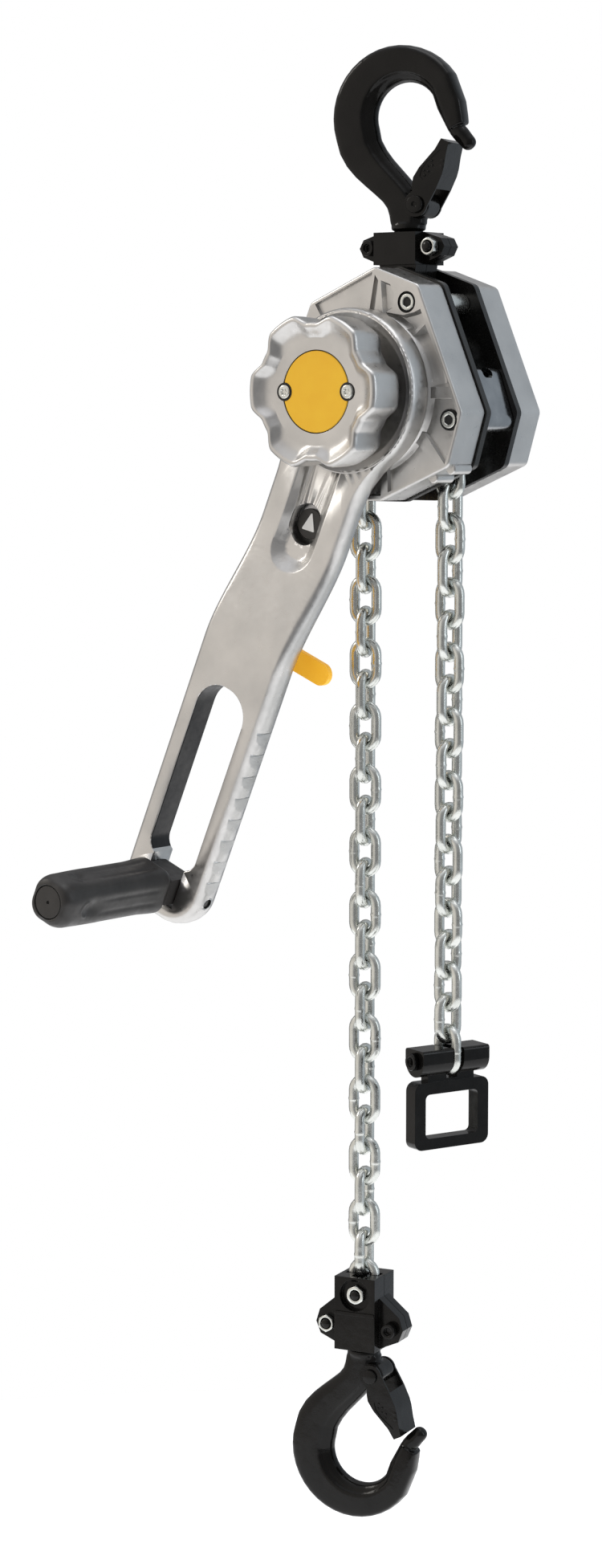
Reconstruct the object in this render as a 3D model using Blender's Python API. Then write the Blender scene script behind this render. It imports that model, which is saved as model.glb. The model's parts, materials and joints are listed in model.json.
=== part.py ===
"""Ratchet lever chain hoist with a fold-out crank handle, 750 kg class.

Shapes are written in millimetres, in the frame of the empty that carries them.
The hoist frame has its origin on the drive shaft: +X right, +Z up, the
handwheel looking along -Y. The world origin is the seat of the top hook.
"""

import math

import bmesh
import bpy
from mathutils import Matrix

MM = 0.001

# Driving dimensions, in millimetres and degrees.
SEAT_ABOVE_SHAFT = 161.5
GAP = 0.3

CHAIN_WIRE = 5.6
CHAIN_PITCH = 17.1
CHAIN_WIDTH = 18.5
POCKETS = 5
JOINT_RADIUS = CHAIN_PITCH / 2 / math.sin(math.pi / POCKETS / 2)
LINK_RADIUS = CHAIN_PITCH / 2 / math.tan(math.pi / POCKETS / 2)
LOAD_LINKS = 29
IDLE_LINKS = 21
LOAD_TWIST = 12
STOP_TWIST = -20

PLATE_IN = 12.0
PLATE_OUT = 16.0
COVER_IN = 16.3
FRONT_FACE = -38.0
BOSS_FACE = -39.5
REAR_FACE = 36.8
CAVITY_RADIUS = 47.5
STAYS = {"upper_left": (-28.5, 43.5), "upper_right": (26, 46),
         "lower_left": (-52.5, -14.3), "lower_right": (52.5, -14.3)}
PLAIN_CORNER = "upper_left"
SUSPENSION_Z = 52.0

MODULE = 1.25
PINION_TEETH = 12
WHEEL_TEETH = 30
SMALL_TEETH = 14
LOAD_TEETH = 28
GEAR_CENTRES = MODULE * (PINION_TEETH + WHEEL_TEETH) / 2
RATCHET_TEETH = 12
CHANGE_TEETH = 12
PAWL_RADIUS = 40.6
PAWL_TURNS = {"upper": 118, "lower": 298}

WHEEL_FRONT = -85.5
WHEEL_BACK = -60.0
WHEEL_RADIUS = 39.7
WHEEL_LOBES = 6
CAP_RADIUS = 21.0
CAP_FACE = -81.0

LEVER_TILT = 23
HEAD_RADIUS = 43.5
HEAD_FRONT = -56.0
HEAD_BACK = -42.1
ARM_HALF_WIDTH = 27.5
UPPER_FACE = -55.6
LOWER_FACE = -71.3
ARM_THICKNESS = 16.6
BEND_START = 80
BEND_END = 150
SLOT_TOP = 170
SLOT_BOTTOM = 275
SLOT_HALF = 16.5
CRANK_DROP = 287
CRANK_Y = -63.0
LEVER_END = 307
PAWL_DROP = 75
SELECTOR_END = 154.5
SELECTOR_TAB = 37.5

GRIP_START = 16.0
GRIP_END = 101.0
GRIP_HALF = 13.2
GRIP_CORNER = 7.8

HOOK_TURN = 12
LATCH_X = 8.2
LATCH_Z = 14.2
LATCH_LEAN = 64
LATCH_REACH = 36.5
THROAT_RADIUS = 17.8
THROAT_ABOVE_YOKE = 60.2
TOP_YOKE_FACE = 83.4
YOKE_BOTTOM = 66.5
YOKE_BOLTS = 19.5
YOKE_BOLT_Z = 75.6
BLOCK_FACE = -523.1
BLOCK_TOP = -482.1
BLOCK_BOLTS = 18.9
BLOCK_BOLT_Z = -510.6
LAST_LOAD_LINK = -CHAIN_PITCH * (LOAD_LINKS - 0.5)
LAST_IDLE_LINK = -CHAIN_PITCH * (IDLE_LINKS - 0.5)
CHAIN_PIN_RADIUS = 2.7
CHAIN_PIN_Z = LAST_LOAD_LINK - 4.7
STOP_BOLT_RADIUS = 2.5
STOP_BOLT_Z = LAST_IDLE_LINK - 4.5
STOP_TOP = STOP_BOLT_Z - 11.5
STOP_LOW = STOP_TOP - 36.5


# ---------------------------------------------------------------- scene helpers

def clear_scene():
    for obj in list(bpy.data.objects):
        bpy.data.objects.remove(obj)


def material(name, colour, roughness, metallic=0.0):
    made = bpy.data.materials.new(name)
    made.use_nodes = True
    shader = made.node_tree.nodes["Principled BSDF"]
    shader.inputs["Base Color"].default_value = (*colour, 1)
    shader.inputs["Roughness"].default_value = roughness
    shader.inputs["Metallic"].default_value = metallic
    return made


def empty(name, parent=None, at=(0, 0, 0), turn=0, about="Z"):
    made = bpy.data.objects.new(name, None)
    made.empty_display_size = 0.01
    bpy.context.scene.collection.objects.link(made)
    made.parent = parent
    made.location = [value * MM for value in at]
    setattr(made.rotation_euler, about.lower(), math.radians(turn))
    return made


def add(name, bm, parent, surface=None, origin=(0, 0, 0)):
    """Makes an object of a mesh in millimetres, with its origin at the given point of its parent's frame."""
    bmesh.ops.translate(bm, verts=bm.verts, vec=[-value for value in origin])
    bmesh.ops.scale(bm, verts=bm.verts, vec=(MM, MM, MM))
    bmesh.ops.recalc_face_normals(bm, faces=bm.faces)
    mesh = bpy.data.meshes.new(name)
    bm.to_mesh(mesh)
    bm.free()
    made = bpy.data.objects.new(name, mesh)
    bpy.context.scene.collection.objects.link(made)
    made.parent = parent
    made.location = [value * MM for value in origin]
    if surface:
        mesh.materials.append(surface)
        mesh.shade_smooth()
        mesh.set_sharp_from_angle(angle=math.radians(35))
    return made


def shape(target, bm, operation="DIFFERENCE"):
    """Cuts a mesh in millimetres out of an object, or joins it on."""
    name = f"{target.name}_shaper_{len(target.modifiers)}"
    helper = add(name, bm, target.parent)
    helper.hide_render = True
    helper.display_type = "WIRE"
    modifier = target.modifiers.new(name, "BOOLEAN")
    modifier.operation = operation
    modifier.object = helper
    return target


# ---------------------------------------------------------------- shape helpers

def arc(x, z, radius, start, end, steps):
    turns = [math.radians(start + (end - start) * k / steps) for k in range(steps + 1)]
    return [(x + radius * math.cos(a), z + radius * math.sin(a)) for a in turns]


def circle(x, z, radius, steps=24):
    return arc(x, z, radius, 0, 360, steps)[:-1]


def rounded(corners, radius, steps=2):
    """An outline whose corners are replaced with arcs."""
    outline = []
    for k, corner in enumerate(corners):
        ends = []
        for other in (corners[k - 1], corners[(k + 1) % len(corners)]):
            dx, dz = other[0] - corner[0], other[1] - corner[1]
            length = math.hypot(dx, dz)
            ends.append((dx / length, dz / length))
        (ax, az), (bx, bz) = ends
        half = math.acos(max(-1, min(1, ax * bx + az * bz))) / 2
        reach = radius / math.tan(half)
        mx, mz = ax + bx, az + bz
        away = radius / math.sin(half) / math.hypot(mx, mz)
        cx, cz = corner[0] + mx * away, corner[1] + mz * away
        first = math.atan2(corner[1] + az * reach - cz, corner[0] + ax * reach - cx)
        last = math.atan2(corner[1] + bz * reach - cz, corner[0] + bx * reach - cx)
        sweep = (last - first + math.pi) % (2 * math.pi) - math.pi
        for step in range(steps + 1):
            angle = first + sweep * step / steps
            outline.append((cx + radius * math.cos(angle), cz + radius * math.sin(angle)))
    return outline


def mirrored(right_side):
    """A closed outline from its right-hand half, listed from top to bottom."""
    return right_side + [(-x, z) for x, z in reversed(right_side)]


def prism(outline, y0, y1, holes=()):
    """A plate between two Y values, with an outline and holes in X and Z."""
    bm = bmesh.new()
    for loop in (outline, *holes):
        corners = [bm.verts.new((x, y0, z)) for x, z in loop]
        for k, corner in enumerate(corners):
            bm.edges.new((corners[k - 1], corner))
    bmesh.ops.triangle_fill(bm, use_beauty=True, edges=bm.edges[:])
    made = bmesh.ops.extrude_face_region(bm, geom=bm.faces[:])["geom"]
    moved = [item for item in made if isinstance(item, bmesh.types.BMVert)]
    bmesh.ops.translate(bm, verts=moved, vec=(0, y1 - y0, 0))
    return bm


def loft(rings):
    """A closed solid through rings of equally many points."""
    bm = bmesh.new()
    made = [[bm.verts.new(point) for point in ring] for ring in rings]
    for lower, upper in zip(made, made[1:]):
        for k in range(len(lower)):
            bm.faces.new((lower[k - 1], lower[k], upper[k], upper[k - 1]))
    bm.faces.new(made[0])
    bm.faces.new(made[-1])
    return bm


def turned(profile, steps=24, axis="Y", at=(0, 0, 0)):
    """A solid of revolution of a closed profile of radius and height."""
    bm = bmesh.new()
    rings = []
    for radius, height in profile:
        count = steps if radius else 1
        angles = [2 * math.pi * k / steps for k in range(count)]
        rings.append([bm.verts.new((radius * math.cos(a), radius * math.sin(a), height)) for a in angles])
    for first, second in zip(rings, rings[1:] + rings[:1]):
        if len(first) == len(second) == 1:
            continue
        for k in range(steps):
            corners = [first[k % len(first)], first[(k + 1) % len(first)],
                       second[(k + 1) % len(second)], second[k % len(second)]]
            bm.faces.new(list(dict.fromkeys(corners)))
    quarter = math.pi / 2
    turns = {"Z": Matrix(), "Y": Matrix.Rotation(-quarter, 4, "X"), "X": Matrix.Rotation(quarter, 4, "Y")}
    bm.transform(Matrix.Translation(at) @ turns[axis])
    return bm


def rod(radius, start, end, steps=16, axis="Y", at=(0, 0, 0)):
    return turned([(0, start), (radius, start), (radius, end), (0, end)], steps, axis, at)


def ring(inner, outer, start, end, steps=24, axis="Y", at=(0, 0, 0)):
    return turned([(inner, start), (outer, start), (outer, end), (inner, end)], steps, axis, at)


def box(x0, x1, y0, y1, z0, z1):
    return prism([(x0, z0), (x1, z0), (x1, z1), (x0, z1)], y0, y1)


def together(*parts):
    """One mesh of several."""
    bm = bmesh.new()
    for part in parts:
        mesh = bpy.data.meshes.new("part")
        part.to_mesh(mesh)
        part.free()
        bm.from_mesh(mesh)
        bpy.data.meshes.remove(mesh)
    return bm


def moved(bm, x=0, y=0, z=0, turn=0):
    """Turns a mesh about +Z, then moves it."""
    bm.transform(Matrix.Translation((x, y, z)) @ Matrix.Rotation(math.radians(turn), 4, "Z"))
    return bm


def gear_outline(teeth, x=0.0, z=0.0, first_tooth=0.0):
    """Straight-sided teeth with enough backlash to turn clear of their mates."""
    pitch_radius = MODULE * teeth / 2
    tip, root = pitch_radius + 0.8 * MODULE, pitch_radius - 1.15 * MODULE
    outline = []
    for k in range(teeth):
        middle = first_tooth + 360 * k / teeth
        for radius, share in ((root, -0.33), (tip, -0.11), (tip, 0.11), (root, 0.33)):
            angle = math.radians(middle + share * 360 / teeth)
            outline.append((x + radius * math.cos(angle), z + radius * math.sin(angle)))
    return outline


def saw_outline(teeth, tip, root):
    """The brake wheel's teeth: a long slope and a steep face."""
    outline = []
    for k in range(teeth):
        start = 2 * math.pi * k / teeth
        steep = start + 2 * math.pi / teeth * 0.93
        outline.append((root * math.cos(start), root * math.sin(start)))
        outline.append((tip * math.cos(steep), tip * math.sin(steep)))
    return outline


def square_outline(teeth, tip, root):
    """The change gear's symmetrical teeth, driven either way."""
    outline = []
    for k in range(teeth):
        for radius, share in ((root, -0.3), (tip, -0.14), (tip, 0.14), (root, 0.3)):
            angle = 2 * math.pi * (k + share) / teeth
            outline.append((radius * math.cos(angle), radius * math.sin(angle)))
    return outline


# ---------------------------------------------------------------- chain

def link(height, turn, x=0.0, sides=4, bends=2):
    """One long link standing along Z, its plane turned about Z from the XZ plane."""
    bend = (CHAIN_WIDTH - CHAIN_WIRE) / 2
    straight = (CHAIN_PITCH + CHAIN_WIRE) / 2 - bend
    radius = CHAIN_WIRE / 2 + 0.2
    path = arc(0, straight, bend, 0, 180, bends) + arc(0, -straight, bend, 180, 360, bends)
    bm = bmesh.new()
    rings = []
    for px, pz in path:
        centre = straight if pz > 0 else -straight
        out = math.atan2(pz - centre, px)
        section = []
        for k in range(sides):
            angle = 2 * math.pi * k / sides
            across = radius * math.cos(angle)
            section.append(bm.verts.new((px + across * math.cos(out), radius * math.sin(angle),
                                         pz + across * math.sin(out))))
        rings.append(section)
    for k, section in enumerate(rings):
        for j in range(sides):
            bm.faces.new((rings[k - 1][j - 1], rings[k - 1][j], section[j], section[j - 1]))
    bm.transform(Matrix.Translation((x, 0, height)) @ Matrix.Rotation(math.radians(turn), 4, "Z"))
    return bm


def strand(name, links, parent, steel, twist):
    """A hanging run of chain: the even links, joined to the odd ones where they bear on each other."""
    heights = [-CHAIN_PITCH * (k + 0.5) for k in range(links)]
    bends = [4 if k == links - 1 else 2 for k in range(links)]
    even = together(*[link(heights[k], twist(k), bends=bends[k]) for k in range(0, links, 2)])
    odd = together(*[link(heights[k], 90 + twist(k)) for k in range(1, links, 2)])
    made = shape(add(name, even, parent, steel), odd, "UNION")
    return shape(made, box(-12, 12, -12, 12, -6.5, 6))


def wrapped_links(odd):
    parts = []
    for k in range(odd, POCKETS, 2):
        one = link(0, 0 if odd else 90)
        angle = math.radians(18 + 36 * k)
        one.transform(Matrix.Rotation(-angle, 4, "Y") @ Matrix.Translation((LINK_RADIUS, 0, 0)))
        parts.append(one)
    return together(*parts)


def chains(bodies, steel):
    strand("load_chain", LOAD_LINKS, bodies["load_line"], steel, lambda k: LOAD_TWIST)
    strand("idle_chain", IDLE_LINKS, bodies["idle_line"], steel, lambda k: -10 * k / IDLE_LINKS)
    shape(add("sheave_chain", wrapped_links(0), bodies["hoist"], steel), wrapped_links(1), "UNION")


# ---------------------------------------------------------------- hooks

def hook_station(outer, inner, half_thickness):
    """One section of the hook, from the points on its back and on its bearing side."""
    middle = ((outer[0] + inner[0]) / 2, (outer[1] + inner[1]) / 2)
    direction = math.degrees(math.atan2(inner[1] - outer[1], inner[0] - outer[0])) + 90
    return middle, direction, math.dist(outer, inner) / 2, half_thickness


def hook_sections():
    """Stations along the hook body: middle X, middle height, direction, half width, half thickness."""
    throat = THROAT_ABOVE_YOKE
    stations = [hook_station((-9.5, 0.5), (10.1, 0.5), 8.0), hook_station((-10.0, 9.5), (10.2, 9.0), 8.0),
                hook_station((-14.5, 16.2), (5.0, 24.5), 7.6), hook_station((-24.5, 24.8), (-5.0, 34.3), 7.4),
                hook_station((-34.1, 33.8), (-12.8, 43.4), 7.2)]
    for angle in range(200, 19, -15):
        turn = math.radians(angle)
        outer = (-5 + 37.6 * math.cos(turn), throat + 37.4 * math.sin(turn))
        inner = (-0.2 + THROAT_RADIUS * math.cos(turn), throat + THROAT_RADIUS * math.sin(turn))
        stations.append(hook_station(outer, inner, 7.0))
    stations.append(((26.2, throat - 1.0), -84, 6.6, 6.2))
    stations.append(((29.5, throat - 9.0), -60, 5.2, 5.4))
    stations.append(((34.0, throat - 14.2), -45, 3.4, 4.2))
    stations.append(((36.0, throat - 16.4), -45, 1.6, 2.4))
    return stations


def hook_body():
    rings = []
    for (x, z), direction, half_width, half_thickness in hook_sections():
        side = math.radians(direction - 90)
        section = []
        for k in range(8):
            angle = 2 * math.pi * (k + 0.5) / 8
            across = half_width * math.copysign(min(1, abs(1.12 * math.cos(angle))), math.cos(angle))
            depth = half_thickness * math.copysign(min(1, abs(1.12 * math.sin(angle))), math.sin(angle))
            section.append((x + across * math.cos(side), depth, z + across * math.sin(side)))
        rings.append(section)
    return loft(rings)


def hook(name, parent, black):
    """A swivel hook standing on its yoke face: shank below, bowl above, notch for the latch pin."""
    made = add(name, hook_body(), parent, black)
    shank = turned([(0, 4), (7.4, 4), (7.4, -6.2), (11.4, -6.2), (11.4, -12.8), (0, -12.8)], 20, "Z")
    shape(made, shank, "UNION")
    shape(made, rod(6.6, -7.8, 7.8, 14, "Y", (LATCH_X, 0, LATCH_Z)), "UNION")
    shape(made, rod(2.7, -12, 12, 12, "Y", (LATCH_X, 0, LATCH_Z)))
    return made


def latch(name, parent, black):
    """A folded sheet latch: two cheeks on the pin and a bridge that bears under the hook's tip."""
    lean = math.radians(LATCH_LEAN)
    cos, sin = math.cos(lean), math.sin(lean)

    def at(along, across):
        return LATCH_X + along * cos + across * sin, LATCH_Z + along * sin - across * cos

    outline = [at(-6.4, 2.4), at(-6.4, -2.4), at(-2.4, -6.4), at(6, -6.4), at(24, -2.2),
               at(LATCH_REACH, -2.0), at(LATCH_REACH, 2.6), at(22, 6.6), at(4, 6.4), at(-2.4, 6.4)]
    made = add(name, prism(outline, -10.2, 10.2), parent, black, (LATCH_X, 0, LATCH_Z))
    inside = [at(-9, -9), at(31, -9), at(31, 0.8), at(22, 4.6), at(14, 4.4), at(10, 9), at(-9, 9)]
    shape(made, prism(inside, -8.6, 8.6))
    shape(made, rod(2.9, -12, 12, 12, "Y", (LATCH_X, 0, LATCH_Z)))
    return made


def latch_pin(name, parent, black):
    profile = [(0, -12.4), (4.6, -12.4), (4.6, -10.6), (2.4, -10.6),
               (2.4, 10.6), (4.0, 10.6), (4.0, 11.8), (0, 11.8)]
    return add(name, turned(profile, 12, "Y", (LATCH_X, 0, LATCH_Z)), parent, black)


def hook_set(prefix, parent, black):
    hook(f"{prefix}_hook", parent, black)
    latch(f"{prefix}_latch", parent, black)
    latch_pin(f"{prefix}_latch_pin", parent, black)


# ---------------------------------------------------------------- yokes

def shank_seat(face):
    """The hollow that holds a hook's shank: the neck at the yoke's face, then the room for its head."""
    up = 1 if face > 0 else -1
    profile = [(0, face + up), (7.8, face + up), (7.8, face - 5.9 * up), (11.8, face - 5.9 * up),
               (11.8, face - 13.2 * up), (0, face - 13.2 * up)]
    return turned(profile, 20, "Z")


def bolt(name, x, z, head_side, front, back, parent, surface):
    """A cap screw along Y; head_side -1 has its head at the front."""
    y = sorted((front, back))
    head = y[0] if head_side < 0 else y[1]
    end = y[1] if head_side < 0 else y[0]
    reach = 4.4 * head_side
    profile = [(0, head + reach), (4.1, head + reach), (4.1, head), (2.7, head), (2.7, end), (0, end)]
    return add(name, turned(profile, 12, "Y", (x, 0, z)), parent, surface, (x, 0, z))


def nut(name, x, z, start, end, parent, surface, bore=3.0, across=4.7):
    body = prism(circle(x, z, across, 6), start, end, [circle(x, z, bore, 12)])
    return add(name, body, parent, surface, (x, 0, z))


def top_yoke(bodies, black, zinc):
    half_block = [(13.5, TOP_YOKE_FACE), (13.5, YOKE_BOTTOM)]
    ears = mirrored([(14, TOP_YOKE_FACE), (25, 80), (27.5, YOKE_BOLT_Z), (25, 71), (13, YOKE_BOTTOM)])
    tang = mirrored([(12, YOKE_BOTTOM + 1)]) + arc(0, SUSPENSION_Z, 9.5, 180, 360, 8)
    holes = ((-YOKE_BOLTS, YOKE_BOLT_Z, 3), (YOKE_BOLTS, YOKE_BOLT_Z, 3), (0, SUSPENSION_Z, 5.3))
    parent = bodies["hoist"]
    for name, side in (("top_yoke_front", -1), ("top_yoke_rear", 1)):
        made = add(name, prism(ears, 0.15 * side, 6.3 * side), parent, black)
        shape(made, prism(mirrored(half_block), 0.15 * side, 13 * side), "UNION")
        shape(made, prism(tang, 0.15 * side, 9.8 * side), "UNION")
        shape(made, shank_seat(TOP_YOKE_FACE))
        for x, z, radius in holes:
            shape(made, rod(radius, -20, 20, 10, "Y", (x, 0, z)))
    bolt("top_yoke_bolt_left", -YOKE_BOLTS, YOKE_BOLT_Z, -1, -6.6, 12.2, parent, black)
    nut("top_yoke_nut_left", -YOKE_BOLTS, YOKE_BOLT_Z, 6.6, 11.0, parent, zinc)
    bolt("top_yoke_bolt_right", YOKE_BOLTS, YOKE_BOLT_Z, 1, -12.2, 6.6, parent, black)
    nut("top_yoke_nut_right", YOKE_BOLTS, YOKE_BOLT_Z, -11.0, -6.6, parent, zinc)
    add("suspension_pin", rod(4.9, -15.8, 15.8, 16, "Y", (0, 0, SUSPENSION_Z)), parent, zinc)


def bottom_block(bodies, black, zinc):
    block = mirrored([(12.1, BLOCK_TOP), (12.1, BLOCK_FACE)])
    ears = mirrored([(12, BLOCK_BOLT_Z + 17), (24, BLOCK_BOLT_Z + 7), (26.2, BLOCK_BOLT_Z),
                     (23.5, BLOCK_BOLT_Z - 6.5), (12, BLOCK_FACE + 1)])
    link_room = box(-9.9, 9.9, -3.3, 3.3, LAST_LOAD_LINK - 14.7, BLOCK_TOP + 5)
    next_link_room = box(-3.4, 3.4, -9.9, 9.9, LAST_LOAD_LINK + 2.4, BLOCK_TOP + 5)
    link_turns = bodies["bottom_block"]
    for name, side in (("bottom_block_front", -1), ("bottom_block_rear", 1)):
        made = add(name, prism(ears, 0.15 * side, 6.5 * side), link_turns, black)
        shape(made, prism(block, 0.15 * side, 13 * side), "UNION")
        shape(made, link_room.copy())
        shape(made, next_link_room.copy())
        shape(made, shank_seat(BLOCK_FACE))
        shape(made, rod(8.9, 13.5 * side, 9.7 * side, 20, "Y", (0, 0, CHAIN_PIN_Z)))
        for x, z in ((-BLOCK_BOLTS, BLOCK_BOLT_Z), (BLOCK_BOLTS, BLOCK_BOLT_Z), (0, CHAIN_PIN_Z)):
            shape(made, rod(3.3, -20, 20, 10, "Y", (x, 0, z)))
    link_room.free()
    next_link_room.free()
    pin = turned([(0, -13.2), (CHAIN_PIN_RADIUS, -13.2), (CHAIN_PIN_RADIUS, 10), (4.4, 10), (4.4, 12.9),
                  (0, 12.9)], 16, "Y", (0, 0, CHAIN_PIN_Z))
    add("chain_pin", pin, link_turns, black)
    nut("chain_pin_nut", 0, CHAIN_PIN_Z, -12.6, -10.0, link_turns, zinc, CHAIN_PIN_RADIUS + GAP, 5.2)
    bolt("bottom_bolt_left", -BLOCK_BOLTS, BLOCK_BOLT_Z, 1, -10.6, 6.8, link_turns, black)
    nut("bottom_nut_left", -BLOCK_BOLTS, BLOCK_BOLT_Z, -10.0, -6.8, link_turns, zinc)
    bolt("bottom_bolt_right", BLOCK_BOLTS, BLOCK_BOLT_Z, -1, -6.8, 10.6, link_turns, black)


# ---------------------------------------------------------------- housing

HOUSING = [(5.3, 64.6), (33, 55.0), (60.8, -10.5), (52.5, -38.5), (10, -56.5),
           (-10, -56.5), (-52.5, -38.5), (-60.8, -10.5), (-36.4, 46.8)]


def housing_outline(inset=0.0):
    shrink = 1 - inset / 55
    return rounded([(x * shrink, z * shrink) for x, z in HOUSING], 5 * shrink)


def side_plate(name, inner, outer, bodies, black):
    holes = [circle(x, z, 3.5, 8) for x, z in STAYS.values()]
    holes.append(circle(0, 0, 14.6, 20))
    holes.append(circle(0, SUSPENSION_Z, 5.3, 12))
    if inner > 0:
        holes += [circle(side * GEAR_CENTRES, 0, 4.5, 10) for side in (-1, 1)]
    plate = add(name, prism(housing_outline(0.8), inner, outer, holes), bodies["hoist"], black)
    if inner < 0:
        for turn in PAWL_TURNS.values():
            x, z = PAWL_RADIUS * math.cos(math.radians(turn)), PAWL_RADIUS * math.sin(math.radians(turn))
            stud = [(0, -34.5), (2.0, -34.5), (2.0, -20.9), (3.4, -20.9), (3.4, -14), (0, -14)]
            shape(plate, turned(stud, 10, "Y", (x, 0, z)), "UNION")
    return plate


def stays(bodies, zinc):
    for place, (x, z) in STAYS.items():
        sleeve = 3.9 if place == "lower_right" else 5.35
        profile = [(0, -30.5), (3.0, -30.5), (3.0, -11.7), (sleeve, -11.7),
                   (sleeve, 11.7), (3.0, 11.7), (3.0, 30), (0, 30)]
        add(f"stay_{place}", turned(profile, 10, "Y", (x, 0, z)), bodies["hoist"], zinc, (x, 0, z))
        if place == PLAIN_CORNER:
            continue
        head = [(0, -37.7), (4.4, -37.7), (4.4, -33.4), (2.4, -33.4), (2.4, -31.0), (0, -31.0)]
        add(f"cover_screw_{place}", turned(head, 10, "Y", (x, 0, z)), bodies["hoist"], zinc, (x, 0, z))


def front_cover(bodies, aluminium):
    made = add("front_cover", prism(housing_outline(), FRONT_FACE, -COVER_IN), bodies["hoist"], aluminium)
    shape(made, rod(41, BOSS_FACE, FRONT_FACE + 1, 24), "UNION")
    hollow = [(0, BOSS_FACE - 1), (18.6, BOSS_FACE - 1), (18.6, -34.9), (CAVITY_RADIUS - 1, -34.9),
              (CAVITY_RADIUS - 1, -10), (0, -10)]
    shape(made, turned(hollow, 24))
    for place, (x, z) in STAYS.items():
        hole = [(0, -42), (5.0, -42), (5.0, -33.1), (3.3, -33.1), (3.3, -12), (0, -12)]
        if place == PLAIN_CORNER:
            hole = [(0, -31), (3.3, -31), (3.3, -12), (0, -12)]
        shape(made, turned(hole, 10, "Y", (x, 0, z)))
    return made


def rear_cover(bodies, aluminium):
    made = add("rear_cover", prism(housing_outline(), COVER_IN, REAR_FACE), bodies["hoist"], aluminium)
    hollow = [(0, 10), (CAVITY_RADIUS, 10), (CAVITY_RADIUS, 32.2), (4.9, 32.2), (4.9, 35), (0, 35)]
    shape(made, turned(hollow, 24))
    for side in (-1, 1):
        shape(made, rod(4.4, 31, 35, 12, "Y", (side * GEAR_CENTRES, 0, 0)))
    for x, z in STAYS.values():
        shape(made, rod(3.3, 12, 30.4, 8, "Y", (x, 0, z)))
    return made


def chain_guide(bodies, zinc):
    """A bent strip that hooks round the lower right stay and keeps the idle run off the plates' edges."""
    x, z = STAYS["lower_right"]
    outside = arc(x, z, 6.7, 255, 385, 6) + arc(46.2, 7.5, 5.2, 20, 170, 4)
    inside = arc(46.2, 7.5, 2.8, 170, 20, 3) + arc(x, z, 4.3, 385, 255, 6)
    return add("chain_guide", prism(outside + inside, -11.4, 11.4), bodies["hoist"], zinc)


def chain_stripper(bodies, black):
    """A stop under the sheave whose tongue lifts the chain out of the groove."""
    outline = arc(0, 0, 33, 245, 295, 5) + [(13, -49), (-13, -49)]
    return add("chain_stripper", prism(outline, -11.6, 11.6), bodies["hoist"], black)


# ---------------------------------------------------------------- load train

def load_sheave(bodies, steel):
    """A pocket wheel: a core with a centre groove, and a pair of teeth between each two pockets."""
    core = [(6.1, -15.7), (14.1, -15.7), (14.1, -11.4), (21.8, -10.9), (21.8, -4.0), (16.4, -4.0), (16.4, 4.0),
            (21.8, 4.0), (21.8, 10.9), (14.1, 11.4), (14.1, 16.1), (11.0, 16.1), (11.0, 25.4), (6.1, 25.4)]
    made = add("load_sheave", turned(core, 20), bodies["hoist"], steel)
    tooth = ((20.5, -7.0), (25.4, -4.0), (30.0, -1.6), (30.0, 1.6), (25.4, 4.0), (20.5, 7.0))
    teeth = []
    for k in range(POCKETS):
        middle = math.radians(54 + 72 * k)
        for side in (-1, 1):
            outline = []
            for radius, across in tooth:
                outline.append((radius * math.cos(middle) - across * math.sin(middle),
                                radius * math.sin(middle) + across * math.cos(middle)))
            teeth.append(prism(outline, 4.3 * side, 10.4 * side))
    return shape(made, together(*teeth), "UNION")


def load_gear(bodies, steel):
    outline = gear_outline(LOAD_TEETH)
    return add("load_gear", prism(outline, 17.2, 24.8, [circle(0, 0, 11.4, 16)]), bodies["hoist"], steel)


def intermediate_gears(bodies, steel):
    for name, side in (("left", -1), ("right", 1)):
        x = side * GEAR_CENTRES
        small = prism(gear_outline(SMALL_TEETH, x, 0, 180 / SMALL_TEETH), 17.2, 25.5)
        made = add(f"intermediate_gear_{name}", small, bodies["hoist"], steel, (x, 0, 0))
        shape(made, prism(gear_outline(WHEEL_TEETH, x, 0, 180 / WHEEL_TEETH), 25.4, 31.4), "UNION")
        journal = [(0, 12.3), (4.0, 12.3), (4.0, 34.6), (0, 34.6)]
        shape(made, turned(journal, 8, "Y", (x, 0, 0)), "UNION")


def drive_shaft(bodies, steel):
    """The pinion at the back, the brake seat in the middle and the handwheel's seat in front."""
    profile = [(0, -79.0), (5.0, -79.0), (5.0, -60.5), (8.0, -60.5), (8.0, -28.3), (12.4, -28.3), (12.4, -19.0),
               (30, -18.8), (30, -16.7), (5.5, -16.7), (5.5, 26.5), (4.5, 26.5), (4.5, 34.7), (0, 34.7)]
    made = add("drive_shaft", turned(profile, 16), bodies["hoist"], steel)
    return shape(made, prism(gear_outline(PINION_TEETH), 25.8, 31.4), "UNION")


def brake(bodies, steel, lining, cast):
    parent = bodies["hoist"]
    hub = [(8.4, -56.2), (15.4, -56.2), (15.4, -51.0), (18.2, -51.0), (18.2, -31.5), (30, -31.5),
           (30, -28.7), (8.4, -28.7)]
    made = add("pressure_hub", turned(hub, 20), parent, steel)
    gear = prism(square_outline(CHANGE_TEETH, 29.0, 24.5), -50.6, -43.6, [circle(0, 0, 12, 20)])
    shape(made, gear, "UNION")
    add("friction_disc_outer", ring(12.8, 30, -28.4, -26.6, 20), parent, lining)
    wheel = prism(saw_outline(RATCHET_TEETH, 34, 30.8), -26.2, -21.4, [circle(0, 0, 12.8, 20)])
    add("ratchet_wheel", wheel, parent, steel)
    add("friction_disc_inner", ring(12.8, 30, -21.0, -19.2, 20), parent, lining)
    for name, turn in PAWL_TURNS.items():
        brake_pawl(name, turn, parent, cast)


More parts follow.
